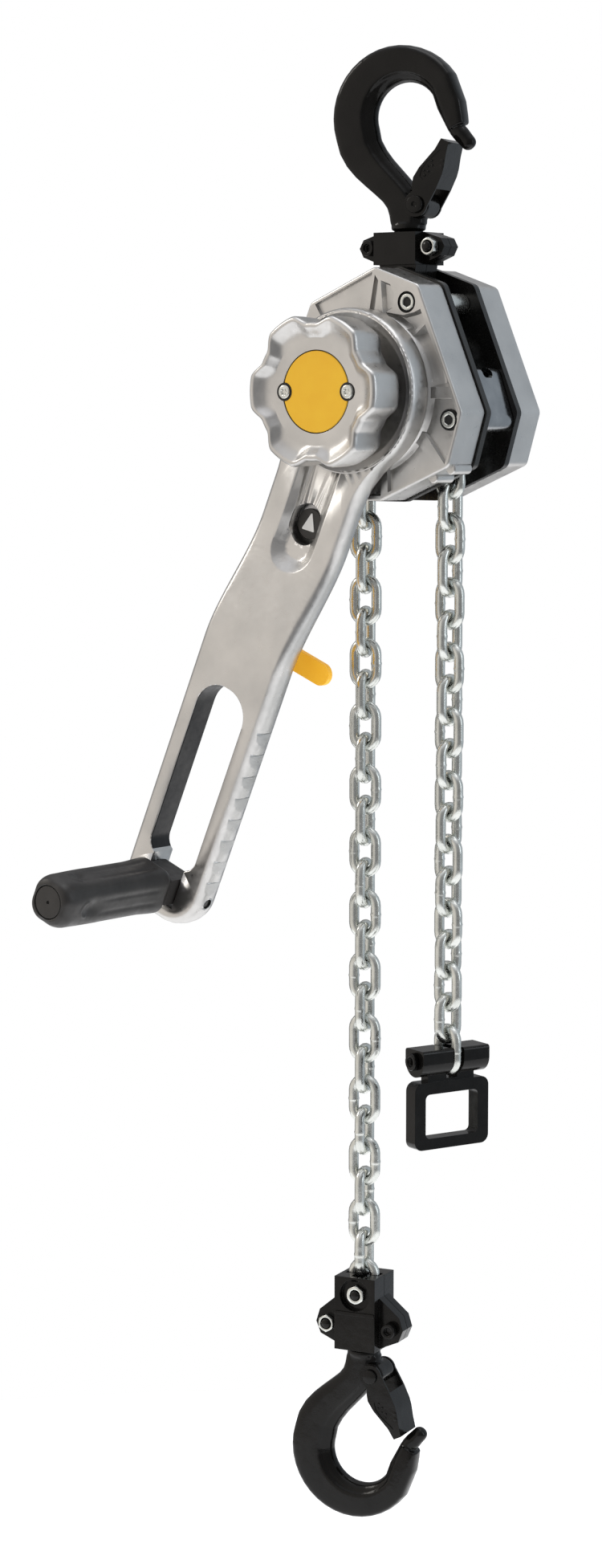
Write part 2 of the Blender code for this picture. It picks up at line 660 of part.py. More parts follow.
def brake_pawl(name, turn, parent, cast):
    """A pawl on a stud beside the ratchet wheel; its nose rests just off the teeth's tips."""
    spin = math.radians(turn)
    x, z = PAWL_RADIUS * math.cos(spin), PAWL_RADIUS * math.sin(spin)
    corners = ((36.6, -2.5), (38.0, -4.2), (43.2, -4.0), (44.8, 0.5), (43.4, 4.2), (36.8, 19.5),
               (34.9, 18.6), (36.6, 4.0))
    outline = []
    for radius, across in corners:
        reach = math.hypot(radius, across)
        angle = spin + math.atan2(across, radius)
        outline.append((reach * math.cos(angle), reach * math.sin(angle)))
    hole = circle(x, z, 2.3, 10)
    add(f"brake_pawl_{name}", prism(outline, -26.2, -21.4, [hole]), parent, cast, (x, 0, z))


# ---------------------------------------------------------------- handwheel

def lobe_radius(angle):
    """The wheel's rim: six flats joined by finger hollows."""
    share = (1 - math.cos(WHEEL_LOBES * angle)) / 2
    return 1 - 0.135 * min(1, share * 1.25) ** 1.3


def handwheel(bodies, aluminium, yellow):
    parent = bodies["hoist"]
    steps = 36
    profile = [(5.3, CAP_FACE + 1.9, 0), (CAP_RADIUS + GAP, CAP_FACE + 1.9, 0), (CAP_RADIUS + GAP, CAP_FACE, 0),
               (26.3, CAP_FACE, 0), (33, WHEEL_FRONT + 0.6, 1), (36.5, WHEEL_FRONT, 1),
               (WHEEL_RADIUS, WHEEL_FRONT + 3.5, 1), (WHEEL_RADIUS - 1.5, WHEEL_BACK - 2, 1),
               (WHEEL_RADIUS - 4, WHEEL_BACK, 1), (19, WHEEL_BACK, 0), (19, -57.0, 0),
               (9.5, -57.0, 0), (9.5, -60.9, 0), (5.3, -60.9, 0)]
    bm = bmesh.new()
    rings = []
    for radius, height, lobed in profile:
        corners = []
        for k in range(steps):
            angle = 2 * math.pi * k / steps
            reach = radius * (lobe_radius(angle) if lobed else 1)
            corners.append(bm.verts.new((reach * math.cos(angle), height, reach * math.sin(angle))))
        rings.append(corners)
    for first, second in zip(rings, rings[1:] + rings[:1]):
        for k in range(steps):
            bm.faces.new((first[k - 1], first[k], second[k], second[k - 1]))
    add("handwheel", bm, parent, aluminium)
    cap = add("wheel_cap", rod(CAP_RADIUS, CAP_FACE, CAP_FACE + 1.6, 24), parent, yellow)
    for name, x in (("left", -CAP_RADIUS + 2.6), ("right", CAP_RADIUS - 2.6)):
        shape(cap, rod(3.6, CAP_FACE - 1, CAP_FACE + 3, 12, "Y", (x, 0, 0)))
    return cap


# ---------------------------------------------------------------- lever

def arm_face(drop):
    """The Y of the arm's front face at a distance below the shaft: an S-shaped step forward."""
    share = min(1, max(0, (drop - BEND_START) / (BEND_END - BEND_START)))
    ease = share * share * (3 - 2 * share)
    return UPPER_FACE + (LOWER_FACE - UPPER_FACE) * ease


def arm_thickness(drop):
    share = min(1, max(0, (drop - BEND_START) / (BEND_END - BEND_START)))
    upper = HEAD_BACK - UPPER_FACE
    return upper + (ARM_THICKNESS - upper) * share


def arm_section(drop, half_width):
    front, thick = arm_face(drop), arm_thickness(drop)
    edge = 4.5
    corners = ((half_width - edge, 0), (half_width, 0.3 * thick), (half_width, 0.7 * thick),
               (half_width - edge, thick))
    right = [(x, front + y, -drop) for x, y in corners]
    return right + [(-x, y, z) for x, y, z in reversed(right)]


def lever(bodies, aluminium, steel):
    parent = bodies["lever"]
    stations = [(20, 27.5), (BEND_START, 27.5), (93, 27.5), (106, 27.5), (119, 27.5), (134, 27.5),
                (BEND_END, 27.5), (292, 27.5), (299, 25.0), (304, 20.0), (LEVER_END, 12.0)]
    made = add("lever", loft([arm_section(*station) for station in stations]), parent, aluminium)
    shape(made, rod(HEAD_RADIUS, HEAD_FRONT, HEAD_BACK, 28), "UNION")
    hollow = [(0, -58), (17, -58), (17, -52.6), (38.6, -52.6), (38.6, -30), (0, -30)]
    shape(made, turned(hollow, 24))
    shape(made, turned([(16.0, -58), (40.6, -58), (40.6, -54.4), (16.0, -54.4)], 28))
    shape(made, box(-22.5, 22.5, -52.6, -30, -61, -30))
    shape(made, box(-12, 12, -52.6, -30, -93, -55))
    window = arc(0, -PAWL_DROP + 2, 8.3, 0, 180, 8) + arc(0, -PAWL_DROP - 2, 8.3, 180, 360, 8)
    shape(made, prism(window, -60, -50))
    slot = rounded([(SLOT_HALF, -SLOT_TOP), (SLOT_HALF, -SLOT_BOTTOM), (-SLOT_HALF, -SLOT_BOTTOM),
                    (-SLOT_HALF, -SLOT_TOP)], 8, 3)
    shape(made, prism(slot, -80, -45))
    shape(made, box(-11.3, 11.3, -80, -45, -298, -SLOT_BOTTOM + 8))
    shape(made, rod(2.9, -40, 40, 12, "X", (0, CRANK_Y, -CRANK_DROP)))
    pin = rod(2.5, -26.5, 26.5, 12, "X", (0, CRANK_Y, -CRANK_DROP))
    add("crank_pivot_pin", pin, parent, steel, (0, CRANK_Y, -CRANK_DROP))
    cover = arc(0, 0, 41.5, -62, 242, 20) + [(-19.5, -97), (19.5, -97)]
    holes = [circle(0, 0, 22, 16), circle(0, -PAWL_DROP, 4.5, 10)]
    add("lever_head_cover", prism(cover, HEAD_BACK + GAP, BOSS_FACE - 0.4, holes), parent, aluminium)
    return made


def change_pawl(bodies, steel, yellow):
    """The double pawl and its spindle, seen through the lever's window, and the thumb lever that turns it."""
    parent = bodies["lever"]
    right_side = [(4.5, -42), (10.6, -32.9), (12.8, -34.2), (11.6, -44), (7.2, -PAWL_DROP + 2),
                  (5, -PAWL_DROP - 5.5)]
    outline = mirrored(right_side)
    made = add("change_pawl", prism(outline, -51.4, -43.2), parent, steel, (0, 0, -PAWL_DROP))
    spindle = [(0, -54.8), (7.6, -54.8), (7.6, -52.0), (4.0, -51.0), (4.0, -35.9), (0, -35.9)]
    shape(made, turned(spindle, 16, "Y", (0, 0, -PAWL_DROP)), "UNION")
    bar, tab = 5.5, 6.0
    hub = arc(0, -PAWL_DROP, 7.6, 160, 20, 5)
    tip = arc(SELECTOR_TAB - tab, -SELECTOR_END + tab, tab, 90, -90, 6)
    selector = hub + [(bar, -PAWL_DROP), (bar, -SELECTOR_END + 2 * tab)] + tip
    selector += [(-bar, -SELECTOR_END), (-bar, -PAWL_DROP)]
    body = prism(selector, BOSS_FACE + 0.1, -35.9, [circle(0, -PAWL_DROP, 4.3, 16)])
    add("selector", body, parent, yellow, (0, 0, -PAWL_DROP))


def crank(bodies, black, plastic):
    """The knuckle and rod on the lever's pivot pin, and the grip that spins on the rod."""
    parent = bodies["crank"]
    collar = GRIP_START - GAP
    knuckle = [(-7.6, -3.2), (-3.2, -7.6), (collar, -7.6), (collar, 7.6), (-3.2, 7.6), (-7.6, 3.2)]
    side = prism([(-y, z) for y, z in knuckle], -10.8, 10.8, [circle(0, 0, 2.8, 12)])
    side.transform(Matrix.Rotation(math.radians(90), 4, "Z"))
    made = add("crank_spindle", side, parent, black)
    shape(made, rod(4.0, -(GRIP_END - 2.6), -(GRIP_START - 2), 16), "UNION")
    half = GRIP_HALF
    square = rounded([(half, half), (half, -half), (-half, -half), (-half, half)], GRIP_CORNER, 3)
    grip = add("crank_grip", prism(square, -GRIP_END, -GRIP_START, [circle(0, 0, 4.4, 16)]), parent, plastic)
    shape(grip, rod(9.0, -GRIP_END - 1, -(GRIP_END - 2.3), 20))
    add("grip_end_cap", rod(8.7, -GRIP_END + 0.2, -(GRIP_END - 2.3) - GAP, 20), parent, plastic)


# ---------------------------------------------------------------- chain stop

def chain_stop(bodies, black):
    """The handle on the idle end: a slotted D-shaped barrel over a flat ring."""
    parent = bodies["stop"]
    z = STOP_BOLT_Z
    barrel = arc(0, z, 8.6, 180, 360, 8) + [(8.6, z + 6.4), (-8.6, z + 6.4)]
    made = add("stop_ring", prism(barrel, -21.5, 21.5), parent, black)
    top, low = STOP_TOP, STOP_LOW
    outer = rounded([(24, top), (24, low), (-24, low), (-24, top)], 4.5)
    inner = rounded([(17, top - 6.5), (17, low + 6), (-17, low + 6), (-17, top - 6.5)], 2.5)
    frame = moved(prism(outer, -4.3, 4.3, [inner]), turn=90)
    shape(made, frame, "UNION")
    shape(made, box(-3.2, 3.2, -15, 15, top - 3.5, z - 6), "UNION")
    room = moved(box(-10.6, 10.6, -3.4, 3.4, LAST_IDLE_LINK - 14.8, z + 12), turn=-10 - STOP_TWIST)
    shape(made, room)
    shape(made, rod(STOP_BOLT_RADIUS + GAP, -25, 25, 12, "Y", (0, 0, z)))
    stud = [(0, -24.6), (4.4, -24.6), (4.4, -21.8), (STOP_BOLT_RADIUS, -21.8),
            (STOP_BOLT_RADIUS, 21.0), (0, 21.0)]
    add("stop_bolt", turned(stud, 12, "Y", (0, 0, z)), parent, black, (0, 0, z))


# ---------------------------------------------------------------- assembly

def main():
    clear_scene()
    aluminium = material("cast_aluminium", (0.62, 0.62, 0.61), 0.32, 1.0)
    black = material("black_paint", (0.015, 0.014, 0.013), 0.22)
    plate_black = material("black_plate", (0.02, 0.02, 0.02), 0.45)
    zinc = material("zinc_plate", (0.68, 0.69, 0.68), 0.25, 1.0)
    steel = material("machined_steel", (0.45, 0.45, 0.46), 0.35, 1.0)
    lining = material("brake_lining", (0.12, 0.09, 0.07), 0.85)
    yellow = material("yellow_plastic", (1.0, 0.6, 0.03), 0.35)
    plastic = material("black_plastic", (0.02, 0.02, 0.02), 0.5)

    hoist = empty("hoist", at=(0, 0, -SEAT_ABOVE_SHAFT))
    lever_axis = empty("lever_axis", hoist, turn=LEVER_TILT, about="Y")
    crank_axis = empty("crank_axis", lever_axis, (0, CRANK_Y, -CRANK_DROP))
    load_line = empty("load_line", hoist, (-JOINT_RADIUS, 0, 0))
    idle_line = empty("idle_line", hoist, (JOINT_RADIUS, 0, 0))
    block = empty("bottom_block_axis", load_line, turn=LOAD_TWIST)
    stop = empty("stop_axis", idle_line, turn=STOP_TWIST)
    top_hook = empty("top_hook_axis", hoist, (0, 0, TOP_YOKE_FACE), HOOK_TURN)
    bottom_swivel = empty("bottom_hook_axis", load_line, (0, 0, BLOCK_FACE), HOOK_TURN)
    upside_down = empty("bottom_hook_frame", bottom_swivel, turn=180, about="X")
    bodies = {"hoist": hoist, "lever": lever_axis, "crank": crank_axis, "load_line": load_line,
              "idle_line": idle_line, "bottom_block": block, "stop": stop}

    hook_set("top", top_hook, black)
    top_yoke(bodies, black, zinc)
    side_plate("front_plate", -PLATE_IN, -PLATE_OUT, bodies, plate_black)
    side_plate("rear_plate", PLATE_IN, PLATE_OUT, bodies, plate_black)
    front_cover(bodies, aluminium)
    rear_cover(bodies, aluminium)
    stays(bodies, zinc)
    chain_guide(bodies, zinc)
    chain_stripper(bodies, plate_black)
    load_sheave(bodies, steel)
    load_gear(bodies, steel)
    intermediate_gears(bodies, steel)
    drive_shaft(bodies, steel)
    brake(bodies, steel, lining, zinc)
    handwheel(bodies, aluminium, yellow)
    lever(bodies, aluminium, steel)
    change_pawl(bodies, steel, yellow)
    crank(bodies, black, plastic)
    chains(bodies, zinc)
    chain_stop(bodies, black)
    bottom_block(bodies, black, zinc)
    hook_set("bottom", upside_down, black)


main()
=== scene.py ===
"""Looks of a ratchet lever chain hoist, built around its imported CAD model.

Pieces are written in millimetres in the frame of the part that carries them: the hoist's own
frame has its origin on the drive shaft, with the handwheel looking along -Y and +Z up.
"""

import json
import math

import bmesh
import bpy
from mathutils import Matrix, Vector


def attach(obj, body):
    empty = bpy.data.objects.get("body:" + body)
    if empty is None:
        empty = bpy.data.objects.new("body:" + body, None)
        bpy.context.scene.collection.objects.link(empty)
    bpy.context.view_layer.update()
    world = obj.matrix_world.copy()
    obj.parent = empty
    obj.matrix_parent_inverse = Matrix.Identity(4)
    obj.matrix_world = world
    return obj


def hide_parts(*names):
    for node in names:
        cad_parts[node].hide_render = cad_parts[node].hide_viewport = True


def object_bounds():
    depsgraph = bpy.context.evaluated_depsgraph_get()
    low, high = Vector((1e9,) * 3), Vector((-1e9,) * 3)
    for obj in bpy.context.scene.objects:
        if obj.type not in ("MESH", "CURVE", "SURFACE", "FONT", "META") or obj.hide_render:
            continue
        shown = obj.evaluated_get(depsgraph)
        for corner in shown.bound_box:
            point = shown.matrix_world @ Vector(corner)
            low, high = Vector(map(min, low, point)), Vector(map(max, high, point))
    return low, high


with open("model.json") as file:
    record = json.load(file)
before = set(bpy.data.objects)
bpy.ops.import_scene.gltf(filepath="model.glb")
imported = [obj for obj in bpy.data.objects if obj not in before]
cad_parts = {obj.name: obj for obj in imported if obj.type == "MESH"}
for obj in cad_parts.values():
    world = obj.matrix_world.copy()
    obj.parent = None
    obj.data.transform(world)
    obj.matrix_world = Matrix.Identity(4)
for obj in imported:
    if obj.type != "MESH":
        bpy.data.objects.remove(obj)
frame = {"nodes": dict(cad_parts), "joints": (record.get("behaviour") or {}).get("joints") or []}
cad_bounds = [list(corner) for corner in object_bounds()]

JOINTS = {joint["name"]: joint for joint in frame["joints"]}

# ---------------------------------------------------------------- driving dimensions, millimetres

CHAIN_WIRE = 5.6
CHAIN_PITCH = 17.1
CHAIN_WIDTH = 18.5
POCKETS = 5
LOAD_LINKS = 29
IDLE_LINKS = 21
LOAD_TWIST = 12
IDLE_TWIST = -10
STOP_TWIST = -20
HOOK_TURN = 12
LINK_RADIUS = CHAIN_PITCH / 2 / math.tan(math.pi / POCKETS / 2)

LEVER_TILT = 23
HEAD_RADIUS = 43.5
UPPER_FACE = -55.6
HEAD_BACK = -42.1
LOWER_FACE = -71.3
ARM_THICKNESS = 16.6
ARM_HALF_WIDTH = 27.5
BEND_START = 80
BEND_END = 150
LEVER_END = 307
SLOT_TOP = 170
SLOT_BOTTOM = 275
SLOT_HALF = 16.5
CRANK_Y = -63.0
CRANK_DROP = 287
GRIP_LENGTH = 85.0
PAWL_DROP = 75

FRONT_FACE = -38.0
PLATE_IN = 12.0
PLATE_OUT = 16.0
COVER_IN = 16.3
REAR_FACE = 36.8
SUSPENSION_Z = 52.0
STAYS = {"upper_left": (-28.5, 43.5), "upper_right": (26, 46),
         "lower_left": (-52.5, -14.3), "lower_right": (52.5, -14.3)}
PLAIN_CORNER = "upper_left"
HOUSING = [(5.3, 64.6), (33, 55.0), (60.8, -10.5), (52.5, -38.5), (10, -56.5),
           (-10, -56.5), (-52.5, -38.5), (-60.8, -10.5), (-36.4, 46.8)]

YOKE_BOLT = (19.5, 75.6)
BLOCK_BOLT = (18.9, -510.6)

THROAT_RADIUS = 17.8
THROAT_ABOVE_YOKE = 60.2
LATCH_X = 8.2
LATCH_Z = 14.2
LATCH_LEAN = 64
LATCH_REACH = 36.5

CHAIN_PIN_Z = -CHAIN_PITCH * (LOAD_LINKS - 0.5) - 4.7
STOP_BOLT_Z = -CHAIN_PITCH * (IDLE_LINKS - 0.5) - 4.5
STOP_TOP = STOP_BOLT_Z - 11.5
STOP_LOW = STOP_TOP - 36.5


# ---------------------------------------------------------------- frames

def pivot(joint):
    return Vector(JOINTS[joint]["pos_m"])


def about(axis, degrees):
    return Matrix.Rotation(math.radians(degrees), 4, axis)


SIZE = Matrix.Scale(0.001, 4)
SHAFT = pivot("sheave_turn")
LINE = pivot("bottom_swivel").x
HOIST = Matrix.Translation(SHAFT) @ SIZE
LEVER = Matrix.Translation(SHAFT) @ about("Y", LEVER_TILT) @ SIZE
CRANK = LEVER @ Matrix.Translation((0, CRANK_Y, -CRANK_DROP))
LOAD_LINE = Matrix.Translation((LINE, 0, SHAFT.z)) @ SIZE
IDLE_LINE = Matrix.Translation((-LINE, 0, SHAFT.z)) @ SIZE
BLOCK = Matrix.Translation((LINE, 0, SHAFT.z)) @ about("Z", LOAD_TWIST) @ SIZE
STOP = Matrix.Translation((-LINE, 0, SHAFT.z)) @ about("Z", STOP_TWIST) @ SIZE
TOP_HOOK = Matrix.Translation(pivot("top_swivel")) @ about("Z", HOOK_TURN) @ SIZE
BOTTOM_HOOK = Matrix.Translation(pivot("bottom_swivel")) @ about("Z", HOOK_TURN) @ about("X", 180) @ SIZE

# Where a piece goes: the frame of its millimetres, and the body that it rides on.
ON_HOIST, ON_DRIVE, ON_SHEAVE = (HOIST, "hoist"), (HOIST, "drive"), (HOIST, "sheave")
ON_LEVER, ON_SELECTOR = (LEVER, "lever"), (LEVER, "selector")
ON_CRANK, ON_GRIP = (CRANK, "crank"), (CRANK, "grip")
ON_LOAD_LINE, ON_BLOCK = (LOAD_LINE, "load_line"), (BLOCK, "load_line")
ON_IDLE_LINE, ON_STOP = (IDLE_LINE, "idle_line"), (STOP, "idle_line")


# ---------------------------------------------------------------- materials

class Nodes:
    """A short way to write a node tree."""

    def __init__(self, tree):
        self.tree = tree

    def node(self, kind, **settings):
        made = self.tree.nodes.new(kind)
        for key, value in settings.items():
            setattr(made, key, value)
        return made

    def fill(self, node, **values):
        """Sets a node's inputs: a number, three for a vector or a colour, or another node's output."""
        for key, value in values.items():
            socket = node.inputs[key.replace("_", " ")]
            if isinstance(value, bpy.types.NodeSocket):
                self.tree.links.new(value, socket)
            else:
                socket.default_value = (*value, 1) if socket.type == "RGBA" else value
        return node

    def noise(self, scale, detail, stretch=None):
        place = self.node("ShaderNodeTexCoord").outputs["Object"]
        if stretch:
            place = self.fill(self.node("ShaderNodeMapping"), Vector=place, Scale=stretch).outputs["Vector"]
        made = self.node("ShaderNodeTexNoise")
        return self.fill(made, Vector=place, Scale=scale, Detail=detail).outputs["Fac"]

    def spread(self, value, low, high, start=0.3, end=0.7, curve="LINEAR"):
        made = self.node("ShaderNodeMapRange", interpolation_type=curve)
        self.fill(made, Value=value, From_Min=start, From_Max=end, To_Min=low, To_Max=high)
        return made.outputs["Result"]

    def mix(self, factor, first, second):
        made = self.node("ShaderNodeMix", data_type="RGBA")
        return self.fill(made, Factor=factor, A=first, B=second).outputs["Result"]

    def bump(self, height, strength, distance, after):
        made = self.fill(self.node("ShaderNodeBump"), Height=height, Strength=strength, Distance=distance)
        if after:
            self.fill(made, Normal=after)
        return made.outputs["Normal"]


def surface(name, slot, tints, rough, bumps, drift=(80, 3.0), gloss=(300, 3.0), stretch=None, **sockets):
    """A material whose tint and roughness drift in patches, over grains of bump.

    drift and gloss are a noise's scale and detail; a bump is those, its strength and its height in metres.
    """
    material = bpy.data.materials.new(name)
    material.use_nodes = True
    nodes = Nodes(material.node_tree)
    normal = None
    for scale, detail, strength, distance in bumps:
        normal = nodes.bump(nodes.noise(scale, detail, stretch), strength, distance, normal)
    nodes.fill(nodes.tree.nodes["Principled BSDF"], Normal=normal,
               Base_Color=nodes.mix(nodes.spread(nodes.noise(*drift), 0, 1), *tints),
               Roughness=nodes.spread(nodes.noise(*gloss), *rough), **sockets)
    return material


def metal(name, slot, dark, light, rough, grain, strength, patches=60, stretch=None):
    return surface(name, slot, (dark, light), rough, [(grain, 2.0, strength, 0.0001)], (patches, 4.0),
                   (patches * 6, 3.0), stretch, Metallic=1.0)


def plastic(name, slot, dark, light, rough, grain, strength, **sockets):
    return surface(name, slot, (dark, light), rough, [(grain, 2.0, strength, 0.0001)], **sockets)


ALUMINIUM = surface("satin_cast_aluminium", "cast_aluminium", ((0.53, 0.525, 0.515), (0.64, 0.63, 0.615)),
                    (0.27, 0.40), [(260, 3.0, 0.12, 0.0004), (4200, 2.0, 0.22, 0.00008)], (45, 5.0),
                    (320, 4.0), Metallic=1.0)
ENAMEL = surface("gloss_black_enamel", "black_paint", ((0.0035, 0.0033, 0.003), (0.008, 0.0074, 0.0068)),
                 (0.10, 0.24), [(120, 3.0, 0.30, 0.0006), (900, 2.0, 0.10, 0.0002)], (70, 4.0), (240, 3.0),
                 Specular_IOR_Level=0.22)
ZINC = metal("bright_zinc", "zinc_plate", (0.60, 0.615, 0.585), (0.74, 0.755, 0.725), (0.19, 0.33), 900, 0.12,
             patches=150)
# Painted reflection: a darker copy of the zinc, standing in for the dark housing that the chain guide's wide
# face reflects.
ZINC_PAINTED_REFLECTION = metal("zinc_painted_dark_reflection", "zinc_plate", (0.26, 0.275, 0.29), (0.38, 0.39, 0.40), (0.14, 0.26), 1400,
                  0.10, patches=90)
# Painted shade: a near-black copy of the cast aluminium for the lever slot's inner walls, which lie in
# shadow.
SLOT_PAINTED_SHADE = metal("painted_slot_shade", "cast_aluminium", (0.030, 0.030, 0.031), (0.055, 0.054, 0.053),
                  (0.30, 0.42), 1600, 0.18)
STEEL = metal("machined_steel", "machined_steel", (0.34, 0.34, 0.35), (0.47, 0.47, 0.48), (0.26, 0.40), 2500,
              0.15, stretch=(1, 6, 1))
BLACK_PLATE = plastic("black_coated_steel", "black_plate", (0.005, 0.005, 0.005), (0.010, 0.010, 0.009),
                      (0.20, 0.32), 1500, 0.08)
# Painted shade: near-black that fills sockets, grooves and the gaps round screw heads, where the real part
# lies in shadow.
SHADE = plastic("painted_shade_black", "black_plate", (0.004, 0.004, 0.004), (0.009, 0.009, 0.008), (0.5, 0.7), 1500,
                0.05)
LINING = plastic("brake_lining", "brake_lining", (0.07, 0.055, 0.04), (0.15, 0.12, 0.09), (0.8, 0.95), 1800,
                 0.5)
YELLOW = plastic("yellow_plastic", "yellow_plastic", (0.97, 0.53, 0.014), (1.0, 0.58, 0.020), (0.34, 0.46),
                 2600, 0.05)
# Painted light: the thumb lever's yellow glows with emission so it looks brighter than the lamps make it.
YELLOW_PAINTED_GLOW = plastic("yellow_plastic_painted_glow", "yellow_plastic", (0.98, 0.54, 0.03), (1.0, 0.60, 0.04),
                     (0.30, 0.42), 2600, 0.05, Emission_Color=(1.0, 0.42, 0.02), Emission_Strength=0.32)
GRIP = plastic("black_grip", "black_plastic", (0.015, 0.0135, 0.0125), (0.027, 0.0245, 0.023), (0.36, 0.50),
               3400, 0.16)
WHITE = plastic("white_mark", "black_plastic", (0.80, 0.80, 0.79), (0.88, 0.88, 0.87), (0.45, 0.55), 2600,
                0.03)


# ---------------------------------------------------------------- outlines

def arc(x, z, radius, start, end, steps):
    turns = [math.radians(start + (end - start) * k / steps) for k in range(steps + 1)]
    return [(x + radius * math.cos(turn), z + radius * math.sin(turn)) for turn in turns]


def circle(x, z, radius, steps=48):
    return arc(x, z, radius, 0, 360, steps)[:-1]


def rounded(corners, radius, steps=6):
    """An outline whose corners are replaced with arcs; radius may be one for each corner."""
    outline = []
    for k, corner in enumerate(corners):
        size = radius[k] if isinstance(radius, list) else radius
        ends = []
        for other in (corners[k - 1], corners[(k + 1) % len(corners)]):
            dx, dz = other[0] - corner[0], other[1] - corner[1]
            length = math.hypot(dx, dz)
            ends.append((dx / length, dz / length))
        (ax, az), (bx, bz) = ends
        half = math.acos(max(-1, min(1, ax * bx + az * bz))) / 2
        reach = size / math.tan(half)
        mx, mz = ax + bx, az + bz
        away = size / math.sin(half) / math.hypot(mx, mz)
        cx, cz = corner[0] + mx * away, corner[1] + mz * away
        first = math.atan2(corner[1] + az * reach - cz, corner[0] + ax * reach - cx)
        last = math.atan2(corner[1] + bz * reach - cz, corner[0] + bx * reach - cx)
        sweep = (last - first + math.pi) % (2 * math.pi) - math.pi
        for step in range(steps + 1):
            turn = first + sweep * step / steps
            outline.append((cx + size * math.cos(turn), cz + size * math.sin(turn)))
    return outline


def panel(half, top, low, upper, lower, steps=6):
    """A rectangle between two heights, with a radius for its upper corners and one for its lower ones."""
    corners = [(half, top), (half, low), (-half, low), (-half, top)]
    return rounded(corners, [upper, lower, lower, upper], steps)


def mirrored(right_side):
    return right_side + [(-x, z) for x, z in reversed(right_side)]


def resampled(outline, spacing):
    """The same closed outline with points at even spacing."""
    points = []
    for k, start in enumerate(outline):
        end = outline[(k + 1) % len(outline)]
        length = math.dist(start, end)
        steps = max(1, round(length / spacing))
        for step in range(steps):
            share = step / steps
            points.append((start[0] + (end[0] - start[0]) * share, start[1] + (end[1] - start[1]) * share))
    return points


def inward_normals(outline):
    """Unit normals towards the inside of an outline that is listed either way round."""
    area = sum(a[0] * b[1] - b[0] * a[1] for a, b in zip(outline, outline[1:] + outline[:1]))
    side = 1 if area > 0 else -1
    normals = []
    for k in range(len(outline)):
        before, after = outline[k - 1], outline[(k + 1) % len(outline)]
        dx, dz = after[0] - before[0], after[1] - before[1]
        length = math.hypot(dx, dz) or 1
        normals.append((-dz / length * side, dx / length * side))
    return normals


def inset_rings(outline, levels):
    """Rings of an outline moved inwards, or outwards where the inset is negative: pairs of inset and Y."""
    normals = inward_normals(outline)
    return [[(x + nx * inset, y, z + nz * inset) for (x, z), (nx, nz) in zip(outline, normals)]
            for inset, y in levels]


def ramp(value, start, end):
    share = min(1, max(0, (value - start) / (end - start)))
    return share * share * (3 - 2 * share)


# ---------------------------------------------------------------- meshes

def prism(outline, y0, y1, holes=()):
    bm = bmesh.new()
    for loop in (outline, *holes):
        corners = [bm.verts.new((x, y0, z)) for x, z in loop]
        for k, corner in enumerate(corners):
            bm.edges.new((corners[k - 1], corner))
    bmesh.ops.triangle_fill(bm, use_beauty=True, edges=bm.edges[:])
    made = bmesh.ops.extrude_face_region(bm, geom=bm.faces[:])["geom"]
    far = [item for item in made if isinstance(item, bmesh.types.BMVert)]
    bmesh.ops.translate(bm, verts=far, vec=(0, y1 - y0, 0))
    return bm


def loft(rings, closed=False):
    """A skin through rings of equally many points, capped unless it closes on itself."""
    bm = bmesh.new()
    made = [[bm.verts.new(point) for point in ring] for ring in rings]
    pairs = list(zip(made, made[1:] + made[:1])) if closed else list(zip(made, made[1:]))
    for lower, upper in pairs:
        for k in range(len(lower)):
            bm.faces.new((lower[k - 1], lower[k], upper[k], upper[k - 1]))
    if not closed:
        bm.faces.new(made[0])
        bm.faces.new(made[-1])
    return bm


def turned(profile, steps=48, axis="Y", at=(0, 0, 0)):
    """A solid of revolution of a closed profile of radius and height."""
    bm = bmesh.new()
    rings = []
    for radius, height in profile:
        count = steps if radius else 1
        angles = [2 * math.pi * k / steps for k in range(count)]
        rings.append([bm.verts.new((radius * math.cos(a), radius * math.sin(a), height)) for a in angles])
    for first, second in zip(rings, rings[1:] + rings[:1]):
        if len(first) == len(second) == 1:
            continue
        for k in range(steps):
            corners = [first[k % len(first)], first[(k + 1) % len(first)],
                       second[(k + 1) % len(second)], second[k % len(second)]]
            bm.faces.new(list(dict.fromkeys(corners)))
    turns = {"Z": Matrix(), "Y": about("X", -90), "X": about("Y", 90)}
    bm.transform(Matrix.Translation(at) @ turns[axis])
    return bm


def rod(radius, start, end, steps=32, axis="Y", at=(0, 0, 0)):
    return turned([(0, start), (radius, start), (radius, end), (0, end)], steps, axis, at)


def ring(inner, outer, start, end, steps=48, axis="Y", at=(0, 0, 0)):
    return turned([(inner, start), (outer, start), (outer, end), (inner, end)], steps, axis, at)


def box(x0, x1, y0, y1, z0, z1):
    return prism([(x0, z0), (x1, z0), (x1, z1), (x0, z1)], y0, y1)


def together(parts):
    bm = bmesh.new()
    for part in parts:
        mesh = bpy.data.meshes.new("part")
        part.to_mesh(mesh)
        part.free()
        bm.from_mesh(mesh)
        bpy.data.meshes.remove(mesh)
    return bm


def scratch(bm):
    """A mesh as a scratch object, for a Boolean."""
    bmesh.ops.recalc_face_normals(bm, faces=bm.faces)
    mesh = bpy.data.meshes.new("scratch")
    bm.to_mesh(mesh)
    bm.free()
    made = bpy.data.objects.new("scratch", mesh)
    bpy.context.scene.collection.objects.link(made)
    return made


def shaped(bm, *steps):
    """The mesh after Boolean steps, each an operation and a mesh. Takes and gives millimetres."""
    target = scratch(bm)
    helpers = []
    for operation, other in steps:
        helper = scratch(other)
        modifier = target.modifiers.new("step", "BOOLEAN")
        modifier.operation = operation
        modifier.object = helper
        helpers.append(helper)
    bpy.context.view_layer.update()
    result = target.evaluated_get(bpy.context.evaluated_depsgraph_get())
    made = bmesh.new()
    made.from_mesh(result.to_mesh())
    result.to_mesh_clear()
    for obj in (target, *helpers):
        mesh = obj.data
        bpy.data.objects.remove(obj)
        bpy.data.meshes.remove(mesh)
    return made


def cut(bm, *others):
    return shaped(bm, *[("DIFFERENCE", other) for other in others])


def joined(bm, *others):
    return shaped(bm, *[("UNION", other) for other in others])


